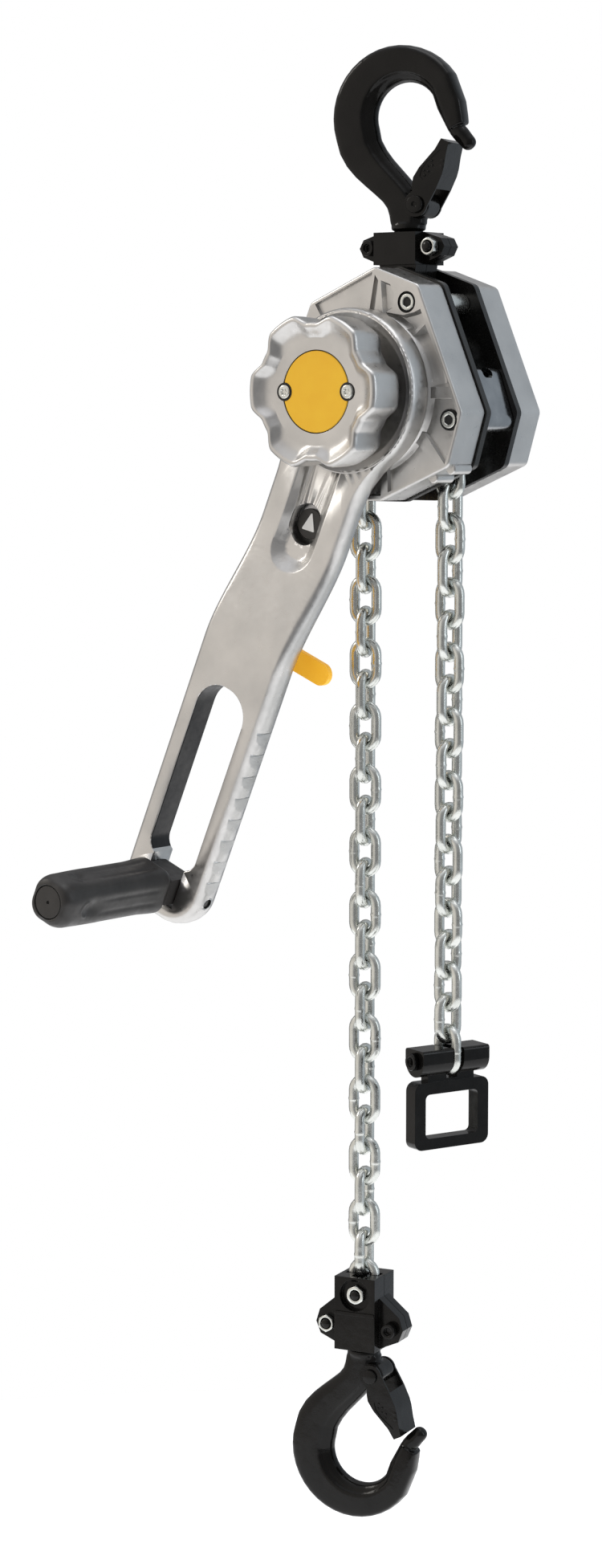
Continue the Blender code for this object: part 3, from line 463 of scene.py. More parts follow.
def finish_edges(made, bevel, segments=2, angle=35):
    """Rounds an object's hard edges and shades its faces from their true normals."""
    if bevel:
        modifier = made.modifiers.new("edges", "BEVEL")
        modifier.width = bevel * SIZE[0][0]
        modifier.segments = segments
        modifier.limit_method = "ANGLE"
        modifier.angle_limit = math.radians(angle)
        modifier.miter_outer = "MITER_ARC"
    normals = made.modifiers.new("normals", "WEIGHTED_NORMAL")
    normals.mode = "FACE_AREA_WITH_ANGLE"


def piece(name, bm, at, material, replaces=(), bevel=0.0, segments=2, angle=35):
    """A finished piece from a mesh in millimetres."""
    place, body = at
    bm.transform(place)
    bmesh.ops.recalc_face_normals(bm, faces=bm.faces)
    for face in bm.faces:
        face.smooth = True
    mesh = bpy.data.meshes.new(name)
    bm.to_mesh(mesh)
    bm.free()
    made = bpy.data.objects.new(name, mesh)
    bpy.context.scene.collection.objects.link(made)
    mesh.materials.append(material)
    finish_edges(made, bevel, segments, angle)
    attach(made, body)
    if replaces:
        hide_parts(*replaces)
    return made


def dress(node, material, bevel=0.0, segments=2):
    """A CAD node that keeps its shape: its edges are rounded and it gets its material."""
    made = frame["nodes"][node]
    made.data.materials.clear()
    made.data.materials.append(material)
    made.data.shade_smooth()
    weld = made.modifiers.new("weld", "WELD")
    weld.merge_threshold = 0.00001
    finish_edges(made, bevel, segments)


# ---------------------------------------------------------------- fasteners

def hexagon(radius, steps=24):
    """Points along a hexagon, as many as a circle beside it has."""
    points = []
    for k in range(steps):
        angle = 2 * math.pi * k / steps
        reach = radius * math.cos(math.pi / 6) / math.cos((angle + math.pi / 6) % (math.pi / 3) - math.pi / 6)
        points.append((reach * math.cos(angle), reach * math.sin(angle)))
    return points


def flat_ring(points, y, at=(0, 0)):
    return [(x + at[0], y, z + at[1]) for x, z in points]


def stacked(at, *levels):
    """A skin through flat outlines: pairs of an outline, or a circle's radius, and Y."""
    return loft([flat_ring(shape if isinstance(shape, list) else circle(0, 0, shape, 24), y, at)
                 for shape, y in levels])


def socket_head(x, z, radius, front, back, socket, depth, toward=-1):
    """A cap screw's head with a hexagonal socket; it looks along -Y unless toward is 1."""
    edge = 0.1 * radius
    return stacked((x, z), (radius, back), (radius, front - toward * edge),
                   (radius - 0.4 * edge, front - toward * 0.3 * edge), (radius - edge, front),
                   (socket * 1.14, front), (hexagon(socket), front - toward * 0.35),
                   (hexagon(socket), front - toward * depth))


def dark_socket(name, x, z, socket, front):
    """Painted shade: a black hexagon at the bottom of a hexagonal socket in the front cover."""
    bottom = hexagon(socket * 0.99)
    piece(name, stacked((x, z), (bottom, front + 0.75), (bottom, front + 1.5)), ON_HOIST, SHADE)


def screw_end(x, z, radius, front, back, toward=-1):
    """A bolt's end: a chamfer and a few thread crests."""
    profile = [(0, front), (radius - 0.7, front)]
    height = front - toward * 0.7
    while abs(height - back) > 0.9:
        profile += [(radius, height), (radius - 0.3, height - toward * 0.4)]
        height -= toward * 0.8
    profile += [(radius, back), (0, back)]
    return turned(profile, 24, "Y", (x, 0, z))


def hex_nut(x, z, across, start, end, bore):
    """A nut with chamfered corners and a chamfered bore."""
    radius = across / math.cos(math.pi / 6)
    chamfer = 0.55
    corners = hexagon(radius, 48)
    blunt = [(px * share, pz * share) for px, pz in corners
             for share in [min(1, across * 0.985 / math.hypot(px, pz))]]
    rings = [flat_ring(points, y, (x, z)) for points, y in (
        (blunt, start), (corners, start + chamfer), (corners, end - chamfer), (blunt, end))]
    for y, reach in ((end, bore + 0.5), (end - 0.5, bore), (start + 0.5, bore), (start, bore + 0.5)):
        rings.append(flat_ring(circle(0, 0, reach, 48), y, (x, z)))
    return loft(rings, closed=True)


# ---------------------------------------------------------------- chain

def link_mesh(height, turn, sides=14, bends=12):
    """One link standing along Z, with the weld's low collar on one limb."""
    bend = (CHAIN_WIDTH - CHAIN_WIRE) / 2
    straight = (CHAIN_PITCH + CHAIN_WIRE) / 2 - bend
    limb = [straight * (1 - k / 5) for k in range(1, 10)]
    path = [(*point, 0) for point in arc(0, straight, bend, 0, 180, bends)]
    path += [(-bend, z, 0) for z in limb]
    path += [(*point, 0) for point in arc(0, -straight, bend, 180, 360, bends)]
    path += [(bend, -z, 1) for z in limb]
    rings = []
    for x, z, welded in path:
        centre = max(-straight, min(straight, z))
        out = math.atan2(z - centre, x)
        radius = CHAIN_WIRE / 2 - 0.06
        if welded:
            radius += 0.28 * math.exp(-((z / 0.75) ** 2))
        rings.append([(x + u * math.cos(out), v, z + u * math.sin(out))
                      for u, v in circle(0, 0, radius, sides)])
    bm = loft(rings, closed=True)
    bm.transform(Matrix.Translation((0, 0, height)) @ about("Z", turn))
    return bm


def strand(name, links, twist, at):
    parts = []
    for k in range(links):
        parts.append(link_mesh(-CHAIN_PITCH * (k + 0.5), twist(k) + 90 * (k % 2) + 180 * (k // 2 % 2)))
    piece(f"{name}_links", together(parts), at, ZINC, [name])


def chains():
    """The two straight runs, and the links that lie in the sheave's pockets."""
    strand("load_chain", LOAD_LINKS, lambda k: LOAD_TWIST, ON_LOAD_LINE)
    strand("idle_chain", IDLE_LINKS, lambda k: IDLE_TWIST * k / IDLE_LINKS, ON_IDLE_LINE)
    parts = []
    for k in range(POCKETS):
        one = link_mesh(0, 90 * (1 - k % 2))
        one.transform(about("Y", -(18 + 36 * k)) @ Matrix.Translation((LINK_RADIUS, 0, 0)))
        parts.append(one)
    piece("sheave_chain_links", together(parts), ON_SHEAVE, ZINC, ["sheave_chain"])


# ---------------------------------------------------------------- hooks

def hook_stations():
    """Sections along the hook: the points on its back and on its bearing side, and half its thickness."""
    throat = THROAT_ABOVE_YOKE
    stations = [((-8.8, 4.6), (10.0, 4.6), 7.9), ((-9.6, 9.0), (10.2, 9.4), 7.9),
                ((-10.8, 12.6), (8.6, 17.6), 7.8), ((-13.6, 16.2), (5.4, 22.8), 7.7),
                ((-18.4, 20.2), (0.6, 28.4), 7.5), ((-23.9, 24.6), (-4.6, 33.9), 7.4),
                ((-29.6, 29.4), (-9.0, 38.6), 7.2), ((-34.6, 34.8), (-12.9, 43.6), 7.1),
                ((-38.6, 41.4), (-16.0, 49.0), 7.0)]
    for angle in range(198, 29, -9):
        turn = math.radians(angle)
        outer = (-5 + 37.6 * math.cos(turn), throat + 37.4 * math.sin(turn))
        inner = (-0.2 + THROAT_RADIUS * math.cos(turn), throat + THROAT_RADIUS * math.sin(turn))
        stations.append((outer, inner, 7.0))
    for (x, z), direction, half, thick in (((24.0, throat + 5.4), -74, 7.6, 6.6),
                                           ((26.0, throat - 1.0), -84, 6.6, 6.2),
                                           ((28.0, throat - 6.2), -66, 5.4, 5.6)):
        side = math.radians(direction - 90)
        dx, dz = half * math.cos(side), half * math.sin(side)
        stations.append(((x - dx, z - dz), (x + dx, z + dz), thick))
    return stations


def hook_section(half_width, half_thickness):
    """A forged section: thin rounded back, flat cheeks, and a step down to the round bearing side."""
    side = [(-1.0, 0.0), (-0.985, 0.35), (-0.93, 0.66), (-0.82, 0.86), (-0.66, 0.95), (-0.40, 0.99),
            (0.0, 1.0), (0.34, 1.0), (0.46, 0.97), (0.56, 0.80), (0.72, 0.70), (0.88, 0.52),
            (0.97, 0.26), (1.0, 0.0)]
    upper = [(u * half_width, v * half_thickness) for u, v in side]
    return upper + [(u, -v) for u, v in reversed(upper[1:-1])]


def hook_mesh():
    rings = []
    for outer, inner, half_thickness in hook_stations():
        half = math.dist(outer, inner) / 2
        dx, dz = (inner[0] - outer[0]) / 2 / half, (inner[1] - outer[1]) / 2 / half
        x, z = (outer[0] + inner[0]) / 2, (outer[1] + inner[1]) / 2
        rings.append([(x + u * dx, v, z + u * dz) for u, v in hook_section(half, half_thickness)])
    body = loft(rings)
    lean = math.atan2(-4.6, 4.2)
    nose = loft([[(31.4 + along * math.cos(lean) - u * math.sin(lean), v,
                   THROAT_ABOVE_YOKE - 11.6 + along * math.sin(lean) + u * math.cos(lean))
                  for u, v in circle(0, 0, radius, 20)]
                 for along, radius in ((-9.0, 3.6), (-6.0, 4.4), (-2.0, 4.5), (1.5, 4.2), (4.2, 4.1),
                                       (5.8, 3.6), (6.9, 2.4), (7.3, 1.0))])
    collar = turned([(0, -12.8), (11.4, -12.8), (11.4, -6.2), (7.4, -6.2), (7.4, 1.0), (9.0, 1.4), (9.2, 3.6),
                     (8.6, 5.0), (0, 6)], 40, "Z")
    pivot_boss = rod(6.6, -7.8, 7.8, 36, "Y", (LATCH_X, 0, LATCH_Z))
    return joined(body, nose, collar, pivot_boss)


def hook(prefix, place):
    """The forging, remeshed as one skin with its edges softened."""
    name = f"{prefix}_hook"
    bm = cut(hook_mesh(), rod(2.7, -12, 12, 24, "Y", (LATCH_X, 0, LATCH_Z)))
    made = piece(f"{name}_forging", bm, (place, name), ENAMEL, [name])
    made.modifiers.clear()
    remesh = made.modifiers.new("skin", "REMESH")
    remesh.mode = "VOXEL"
    remesh.voxel_size = 0.00055
    remesh.use_smooth_shade = True
    soft = made.modifiers.new("soften", "SMOOTH")
    soft.factor = 0.5
    soft.iterations = 6


def latch_point(along, across):
    lean = math.radians(LATCH_LEAN)
    return (LATCH_X + along * math.cos(lean) + across * math.sin(lean),
            LATCH_Z + along * math.sin(lean) - across * math.cos(lean))


def latch(prefix, place):
    """A folded sheet latch with a leaf-shaped panel sunk in each cheek."""
    at = latch_point
    head = arc(LATCH_X, LATCH_Z, 6.5, LATCH_LEAN + 75, LATCH_LEAN + 285, 16)
    outline = head + [at(6.0, 6.6), at(12, 7.0), at(20, 6.9), at(24, 6.2), at(30, 4.4), at(LATCH_REACH, 2.9),
                      at(LATCH_REACH, -1.8), at(30, -2.6), at(24, -4.6), at(18, -6.6), at(12, -7.4),
                      at(8.5, -6.4), at(5.4, -4.8)]
    inside = [at(-9, -9), at(31, -9), at(31, 0.8), at(22, 4.8), at(14, 5.0), at(10, 9), at(-9, 9)]
    leaf = [at(14.0, -4.2), at(18, -5.0), at(22.5, -3.8), at(27, -1.6), at(31.5, 0.4), at(27, 1.2),
            at(21, 1.5), at(16, 0.4), at(13.2, -1.8)]
    bm = cut(prism(outline, -10.2, 10.2), prism(inside, -8.8, 8.8),
             rod(2.9, -12, 12, 24, "Y", (LATCH_X, 0, LATCH_Z)), prism(leaf, -11, -9.75),
             prism(leaf, 9.75, 11))
    dots = []
    for along, across in ((15.6, -2.0), (17.6, -3.4), (18.2, -1.0), (20.4, -2.4), (22.0, -0.4), (24.0, -1.6)):
        x, z = at(along, across)
        for side in (-1, 1):
            dots.append(turned([(0, 9.4 * side), (0.8, 9.4 * side), (0.75, 9.9 * side), (0.4, 10.15 * side),
                                (0, 10.2 * side)], 12, "Y", (x, 0, z)))
    name = f"{prefix}_latch"
    piece(f"{name}_sheet", bm, (place, name), ENAMEL, [name], bevel=0.5)
    piece(f"{name}_dimples", together(dots), (place, name), ENAMEL)
    for side, label in ((-1, "front"), (1, "rear")):
        rib = together([rod(1.1, 10.0 * side, 10.5 * side, 16, "Y", (x, 0, z)) for x, z in
                        (at(26.5, 4.0), at(23.5, 5.0))])
        piece(f"{name}_rivets_{label}", rib, (place, name), ENAMEL, bevel=0.2)


def latch_pin(prefix, place):
    hexagonal = hexagon(1.4)
    head = stacked((LATCH_X, LATCH_Z), (4.6, -10.6), (4.6, -12.0), (4.1, -12.4), (1.7, -12.4),
                   (hexagonal, -12.2), (hexagonal, -11.2))
    stem = turned([(0, -11.0), (2.4, -11.0), (2.4, 10.6), (4.0, 10.6), (4.0, 11.4), (3.6, 11.8), (0, 11.8)],
                  24, "Y", (LATCH_X, 0, LATCH_Z))
    piece(f"{prefix}_latch_pin_head", head, (place, f"{prefix}_hook"), ENAMEL)
    piece(f"{prefix}_latch_pin_stem", stem, (place, f"{prefix}_hook"), ENAMEL, [f"{prefix}_latch_pin"])


def hooks():
    for prefix, place in (("top", TOP_HOOK), ("bottom", BOTTOM_HOOK)):
        hook(prefix, place)
        latch(prefix, place)
        latch_pin(prefix, place)


# ---------------------------------------------------------------- housing

def housing_outline(grow=0.0, steps=6):
    size = 1 + grow / 55
    return rounded([(x * size, z * size) for x, z in HOUSING], 5 * size, steps)


def rim_distance(x, z):
    """How far inside the housing's rounded outline a point lies."""
    corner = 5.0
    lines = sorted(((x - ax) * (bz - az) - (z - az) * (bx - ax)) / math.hypot(bx - ax, bz - az) - corner
                   for (ax, az), (bx, bz) in zip(HOUSING, HOUSING[1:] + HOUSING[:1]))
    if lines[1] >= 0:
        return corner + lines[0]
    return corner - math.hypot(lines[0], lines[1])


def rear_relief(x, z):
    """A shallow step round the gear case's raised middle and the four screws."""
    depth = min(2.2 * ramp(rim_distance(x, z), 2.6, 4.4), 2.2 * ramp(math.hypot(x, z), 44.0, 47.0))
    for bx, bz in STAYS.values():
        depth = min(depth, 2.2 * ramp(math.hypot(x - bx, z - bz), 6.6, 8.4))
    return depth


def rear_cover():
    """A cover with a shallow step in its face, made of rings from its back edge to its middle."""
    rim, hub, loops = 2.6, 40.0, 40
    outline = resampled(housing_outline(0, 8), 1.4)
    levels = [(1.3, 0), (0.75, 0.12), (0.35, 0.4), (0.1, 0.85), (0, 1.4)]
    levels = [(inset, COVER_IN + lift) for inset, lift in levels]
    levels += [(inset, REAR_FACE - drop) for inset, drop in (
        (0, rim), (0.08 * rim, 0.6 * rim), (0.3 * rim, 0.29 * rim), (0.6 * rim, 0.08 * rim), (rim, 0))]
    rings = inset_rings(outline, levels)
    edge = inset_rings(outline, [(rim + 0.4, 0)])[0]
    for k in range(loops + 1):
        share = (k / loops) ** 1.15
        row = []
        for x, _, z in edge:
            scale = 1 + (hub / math.hypot(x, z) - 1) * share
            row.append((x * scale, REAR_FACE - rear_relief(x * scale, z * scale), z * scale))
        rings.append(row)
    rings.append([(20 * x / math.hypot(x, z), REAR_FACE, 20 * z / math.hypot(x, z)) for x, z in outline])
    hollow = [(0, 10), (47.5, 10), (47.5, 30), (44, 32.2), (0, 32.2)]
    piece("rear_cover_casting", cut(loft(rings), turned(hollow, 48)), ON_HOIST, ALUMINIUM, ["rear_cover"],
          bevel=0.35, segments=1, angle=50)
    for place, (x, z) in STAYS.items():
        head = socket_head(x, z, 4.2, REAR_FACE + 0.9, REAR_FACE - 1.6, 2.3, 2.0, toward=1)
        piece(f"rear_screw_{place}", head, ON_HOIST, ZINC)


POCKETS_IN_COVER = (
    ([(4.2, 61.9), (-33.2, 45.9), (-29.8, 40.4), (-20, 34), (1.0, 36), (0.7, 44.4)], 2.2, 0.25),
    ([(5.8, 60.4), (8.0, 57.4), (5.4, 41.0), (1.9, 40.0)], 2.4, 0.2),
    ([(9.6, 57.4), (15.5, 55.4), (18.2, 50.0), (17.0, 43.0), (11.0, 40.0)], 2.6, 0.5),
    ([(12.6, 41.0), (17.5, 40.3), (24.0, 39.4), (31.0, 40.8), (34.8, 42.4), (37.4, 36.4), (30.6, 30.4),
      (20, 34)], 3.4, 0.4),
    ([(30.6, 28.4), (37.9, 34.4), (53.6, 2.6), (39.6, 2.4)], 6.6, 0.3),
    ([(40.0, -3.4), (54.4, -3.0), (58.2, -11.0), (57.0, -17.4), (50.4, -37.0), (40.4, -24.2),
      (35.4, -19.4)], 2.1, 0.25),
    ([(13.8, -36.0), (31.8, -25.6), (46.8, -38.4), (14.4, -52.0)], 2.3, 0.25),
    ([(10.9, -38.0), (9.9, -53.9), (-9.9, -53.9), (-10.9, -38.0)], 4.0, 0.2),
)
MIRRORED_POCKETS = (4, 5, 6)


def shifted(points, distance):
    """A corner outline moved outwards, or inwards by a negative distance, with its corners kept sharp."""
    area = sum(a[0] * b[1] - b[0] * a[1] for a, b in zip(points, points[1:] + points[:1]))
    side = 1 if area > 0 else -1
    made = []
    for k, (x, z) in enumerate(points):
        (px, pz), (nx, nz) = points[k - 1], points[(k + 1) % len(points)]
        before, after = math.hypot(x - px, z - pz), math.hypot(nx - x, nz - z)
        ax, az = (z - pz) / before * side, -(x - px) / before * side
        bx, bz = (nz - z) / after * side, -(nx - x) / after * side
        share = distance / (1 + ax * bx + az * bz)
        made.append((x + (ax + bx) * share, z + (az + bz) * share))
    return made


def sunk_facet(points, depth, slope):
    """A cutter for one flat sunk facet of the cover's front, with sloping sides."""
    levels = ((0.5, FRONT_FACE - 1.6), (0, FRONT_FACE), (-slope * depth, FRONT_FACE + depth))
    return loft([[(x, y, z) for x, z in shifted(points, growth)] for growth, y in levels])


def front_cover():
    """A cover whose face has flat sunk facets, with sharp ribs left between them, round a raised ring."""
    levels = [(inset, -COVER_IN - lift) for inset, lift in ((0.7, 0), (0.2, 0.2), (0, 0.7))]
    levels += [(inset, FRONT_FACE + drop) for inset, drop in (
        (0, 1.3), (0.1, 0.8), (0.4, 0.35), (0.85, 0.08), (1.4, 0))]
    facets = [sunk_facet(*pocket) for pocket in POCKETS_IN_COVER]
    for number in MIRRORED_POCKETS:
        points, depth, slope = POCKETS_IN_COVER[number]
        facets.append(sunk_facet([(-x, z) for x, z in reversed(points)], depth, slope))
    bm = cut(loft(inset_rings(housing_outline(0, 10), levels)), *facets)
    raised = turned([(18.0, -33), (18.0, -39.5), (39.6, -39.5), (40.6, -39.25), (41.3, -38.6), (42.4, -36.6),
                     (44.0, -34.2), (46.2, -32.2), (48.4, -31.2), (48.4, -30.6), (46.0, -30.0),
                     (40, -30), (36, -33)], 128)
    bumps = [turned([(0, -33.6), (2.4, -33.6), (3.0, -33.0), (3.0, -18.4), (0, -18.4)], 20, "Y", (x, 0, z))
             for x, z in ((40.0, -44.0), (51.0, -39.4))]
    bm = joined(bm, raised, together(bumps))
    hollow = [(0, -42), (18.6, -42), (18.6, -34.9), (43.0, -34.9), (46.5, -27), (46.5, -10), (0, -10)]
    holes = []
    for place, (x, z) in STAYS.items():
        front = [(0, -42), (5.6, -42), (5.6, -33.1), (3.3, -33.1)]
        if place == PLAIN_CORNER:
            front = [(0, -31), (3.3, -31)]
        holes.append(turned(front + [(3.3, -12), (0, -12)], 32, "Y", (x, 0, z)))
    bm = cut(bm, turned(hollow, 48), together(holes))
    piece("front_cover_casting", bm, ON_HOIST, ALUMINIUM, ["front_cover"], bevel=0.22, angle=32)
    for place, (x, z) in STAYS.items():
        if place == PLAIN_CORNER:
            continue
        head = joined(socket_head(x, z, 4.4, -37.9, -33.2, 2.6, 3.2),
                      rod(2.4, -33.6, -31.0, 20, "Y", (x, 0, z)))
        piece(f"cover_screw_{place}_head", head, ON_HOIST, ZINC, [f"cover_screw_{place}"])
        dark_socket(f"cover_screw_{place}_socket", x, z, 2.6, -37.9)
        # Painted shade: a black ring fills the gap between each screw head and its hole in the cover.
        seat = ring(4.5, 5.55, -37.2, -33.3, 40, "Y", (x, 0, z))
        piece(f"cover_screw_{place}_seat", seat, ON_HOIST, SHADE)


def side_plates():
    for name, inner, outer in (("front_plate", -PLATE_IN, -PLATE_OUT), ("rear_plate", PLATE_IN, PLATE_OUT)):
        holes = [circle(x, z, 3.5, 20) for x, z in STAYS.values()] + [circle(0, 0, 14.6, 32),
                                                                  circle(0, SUSPENSION_Z, 5.3, 24)]
        if inner > 0:
            holes += [circle(side * 26.25, 0, 4.5, 20) for side in (-1, 1)]
        sheet = prism(housing_outline(0.9), inner, outer, holes)
        piece(f"{name}_sheet", sheet, ON_HOIST, BLACK_PLATE, [name], bevel=0.35)


def stays():
    for place, (x, z) in STAYS.items():
        sleeve = 3.9 if place == "lower_right" else 5.35
        profile = [(0, -30.5), (3.0, -30.5), (3.0, -11.7), (sleeve - 0.6, -11.7), (sleeve, -11.1),
                   (sleeve, 11.1), (sleeve - 0.6, 11.7), (3.0, 11.7), (3.0, 30), (0, 30)]
        piece(f"stay_{place}_bar", turned(profile, 36, "Y", (x, 0, z)), ON_HOIST, ZINC, [f"stay_{place}"])


def chain_guide():
    """A strip bent round the lower right stay, with two curled ears at its top and round lower corners."""
    x, z = STAYS["lower_right"]
    outside = arc(x, z, 6.7, 252, 388, 20) + arc(46.2, 7.5, 5.2, 24, 172, 14)
    inside = arc(46.2, 7.5, 2.8, 172, 24, 12) + arc(x, z, 4.3, 388, 252, 18)
    blank = prism(panel(11.4, 15, -21.2, 1, 6.5, 8), -64, -36)
    gap = prism(panel(4.4, 20, 7.4, 0.5, 2.4), -64, -36)
    for part in (blank, gap):
        part.transform(about("Z", 90))
    strip = shaped(prism(outside + inside, -11.4, 11.4), ("INTERSECT", blank), ("DIFFERENCE", gap))
    # The chain guide gets the darkened zinc, a painted dark reflection.
    piece("chain_guide_strip", strip, ON_HOIST, ZINC_PAINTED_REFLECTION, ["chain_guide"], bevel=0.6, segments=3)


# ---------------------------------------------------------------- yokes

def top_yoke():
    for node in ("top_yoke_front", "top_yoke_rear"):
        dress(node, ENAMEL, 1.1, 3)
    bolt_x, bolt_z = YOKE_BOLT
    bolts = (("top_yoke_bolt_left", -bolt_x, -11.0, -6.7, -1), ("top_yoke_bolt_right", bolt_x, 11.0, 6.7, 1))
    for node, x, front, back, toward in bolts:
        head = socket_head(x, bolt_z, 4.1, front, back, 2.3, 2.6, toward)
        stem = screw_end(x, bolt_z, 2.7, -toward * 12.2, back + toward * 0.2, -toward)
        piece(f"{node}_head", head, ON_HOIST, ENAMEL, [node])
        piece(f"{node}_stem", stem, ON_HOIST, ENAMEL)
    nuts = (("top_yoke_nut_left", -bolt_x, 6.6, 11.0), ("top_yoke_nut_right", bolt_x, -11.0, -6.6))
    for node, x, start, end in nuts:
        piece(f"{node}_hex", hex_nut(x, bolt_z, 4.35, start, end, 3.0), ON_HOIST, ZINC, [node])


def bottom_block():
    for node in ("bottom_block_front", "bottom_block_rear"):
        dress(node, ENAMEL, 1.1, 3)
    bolt_x, bolt_z = BLOCK_BOLT
    nuts = (("chain_pin_nut", 0, CHAIN_PIN_Z, 4.8, -12.6, -10.0, 2.9),
            ("bottom_nut_left", -bolt_x, bolt_z, 4.35, -10, -6.8, 3.0))
    for node, x, z, across, start, end, bore in nuts:
        piece(f"{node}_hex", hex_nut(x, z, across, start, end, bore), ON_BLOCK, ZINC, [node])
    stem = turned([(0, -13.2), (2.0, -13.2), (2.7, -12.5), (2.7, 10), (4.4, 10), (4.4, 12.4), (3.9, 12.9),
                   (0, 12.9)], 28, "Y", (0, 0, CHAIN_PIN_Z))
    piece("chain_pin_stem", stem, ON_BLOCK, ENAMEL, ["chain_pin"])
    for node, x, front, back, toward in (("bottom_bolt_left", -bolt_x, 11.2, 6.9, 1),
                                         ("bottom_bolt_right", bolt_x, -11.2, -6.9, -1)):
        head = socket_head(x, bolt_z, 4.1, front, back, 2.3, 2.6, toward)
        stem = screw_end(x, bolt_z, 2.7, -toward * 10.6, back + toward * 0.2, -toward)
        piece(f"{node}_head", head, ON_BLOCK, ENAMEL, [node])
        piece(f"{node}_stem", stem, ON_BLOCK, ENAMEL)
    band = panel(11.9, -501.4, -503.4, 0.7, 0.7, 3)
    piece("bottom_block_band", prism(band, -13.7, -12.6), ON_BLOCK, ENAMEL, bevel=0.4)


def chain_stop():
    """A D-shaped slotted barrel over a flat rectangular ring."""
    z = STOP_BOLT_Z
    barrel = arc(0, z, 8.6, 180, 360, 28) + panel(8.6, z, z + 6.4, 0.2, 1.6, 5)[6:18]
    inner = panel(17, STOP_TOP - 6.5, STOP_LOW + 6, 2.8, 2.8)
    flat_frame = prism(panel(24, STOP_TOP, STOP_LOW, 4.8, 4.8, 8), -4.3, 4.3, [inner])
    flat_frame.transform(about("Z", 90))
    room = box(-10.6, 10.6, -3.4, 3.4, STOP_BOLT_Z - 10.3, z + 12)
    room.transform(about("Z", IDLE_TWIST - STOP_TWIST))
    neck = box(-3.2, 3.2, -15, 15, STOP_TOP - 3.0, z - 6)
    bm = joined(prism(barrel, -21.5, 21.5), flat_frame, neck)
    bm = cut(bm, room, rod(2.8, -25, 25, 24, "Y", (0, 0, z)))
    piece("stop_ring_forging", bm, ON_STOP, ENAMEL, ["stop_ring"], bevel=1.0, segments=3)
    piece("stop_bolt_head", socket_head(0, z, 4.7, -24.6, -21.8, 2.7, 2.4), ON_STOP, ENAMEL)
    piece("stop_bolt_stem", rod(2.5, -22.0, 21.0, 24, "Y", (0, 0, z)), ON_STOP, ENAMEL, ["stop_bolt"])


# ---------------------------------------------------------------- handwheel

def valley(angle):
    """0 on a lobe, 1 in the finger hollow between two lobes."""
    off = abs(math.degrees(angle) % 60 - 30)
    return 1 - ramp(off, 4.5, 19.5)


def handwheel():
    """Six lobes with soft hollows; the front is a shallow dish of petals inside an even bead."""
    dish = [(27.4, -81.0), (28.2, -81.12), (30.5, -82.0), (33.0, -83.2), (35.4, -84.4), (37.2, -85.1)]
    rim = [(37.8, -85.42), (38.5, -85.5), (39.3, -85.3), (39.95, -84.75), (40.35, -83.9), (40.55, -82.6),
           (40.5, -77), (40.2, -71), (39.8, -66), (39.3, -63.2), (38.3, -61.3), (36.8, -60.3), (34.2, -60)]
    back = [(28, -60), (19, -60), (19, -57.0), (9.5, -57.0), (9.5, -60.9), (5.3, -60.9), (5.3, -79.1),
            (21.3, -79.1), (21.3, -80.7), (21.6, -81.0)]
    inner, deep = 27.4, 4.9
    rings = []
    for section in (dish, rim, back):
        for radius, height in section:
            row = []
            for x, z in circle(0, 0, 1, 360):
                hollow = valley(math.atan2(z, x))
                reach, bulge = radius, 0
                if section is rim:
                    reach -= deep * hollow
                if section is dish:
                    share = (radius - inner) / (37.2 - inner)
                    reach -= deep * hollow * share
                    bulge = 1.15 * (1 - hollow) * math.sin(math.pi * share)
                row.append((reach * x, height + bulge, reach * z))
            rings.append(row)
    piece("handwheel_casting", loft(rings, closed=True), ON_DRIVE, ALUMINIUM, ["handwheel"], angle=40)
    disc = turned([(0, -81.0), (20.5, -81.0), (20.9, -80.6), (20.9, -79.4), (0, -79.4)], 96)
    seats = [rod(4.75, -83, -80.2, 32, "Y", (x, 0, 0)) for x in (-20.2, 20.2)]
    piece("wheel_cap_disc", cut(disc, *seats), ON_DRIVE, YELLOW, ["wheel_cap"], bevel=0.12)
    # Painted shade: a black ring fills the groove round the cap's rim.
    piece("wheel_cap_groove", ring(20.95, 21.45, -80.75, -79.2, 96), ON_DRIVE, SHADE)
    for label, x in (("left", -20.2), ("right", 20.2)):
        # Painted shade: a black disc under each cap screw stands for the dark recess round its head.
        seat = turned([(0, -80.3), (4.7, -80.3), (4.7, -81.2), (3.9, -81.2), (3.7, -80.7), (0, -80.7)], 32,
                      at=(x, 0, 0))
        piece(f"cap_screw_seat_{label}", seat, ON_DRIVE, SHADE)
        piece(f"cap_screw_{label}", torx_head(x, 0, 3.65, -81.9, -80.6), ON_DRIVE, ZINC)


def torx_head(x, z, radius, front, back):
    """A small domed screw head with a six-lobed socket."""
    def lobes(size):
        points = []
        for px, pz in circle(0, 0, 1, 36):
            reach = size * (1 + 0.16 * math.cos(6 * math.atan2(pz, px)))
            points.append((reach * px, reach * pz))
        return points

    return stacked((x, z), *((circle(0, 0, radius * share, 36), y) for share, y in (
        (1, back), (1, front + 0.45), (0.86, front + 0.12), (0.62, front))),
        (lobes(radius * 0.42), front + 0.05), (lobes(radius * 0.40), front + 0.75))


# ---------------------------------------------------------------- lever

def lever_outline():
    """The lever from above: a round head that flows into a straight arm with a round end."""
    fillet = 60.0
    centre_x = ARM_HALF_WIDTH + fillet
    centre_z = -math.sqrt((HEAD_RADIUS + fillet) ** 2 - centre_x ** 2)
    touch = math.degrees(math.atan2(centre_z, centre_x))
    head = arc(0, 0, HEAD_RADIUS, 90, touch, 60)
    flow = arc(centre_x, centre_z, fillet, 180 + touch, 180, 24)
    end = 21.0
    corner = arc(ARM_HALF_WIDTH - end, -LEVER_END + end, end, 0, -90, 18)
    return mirrored((head + flow[1:] + corner)[1:])


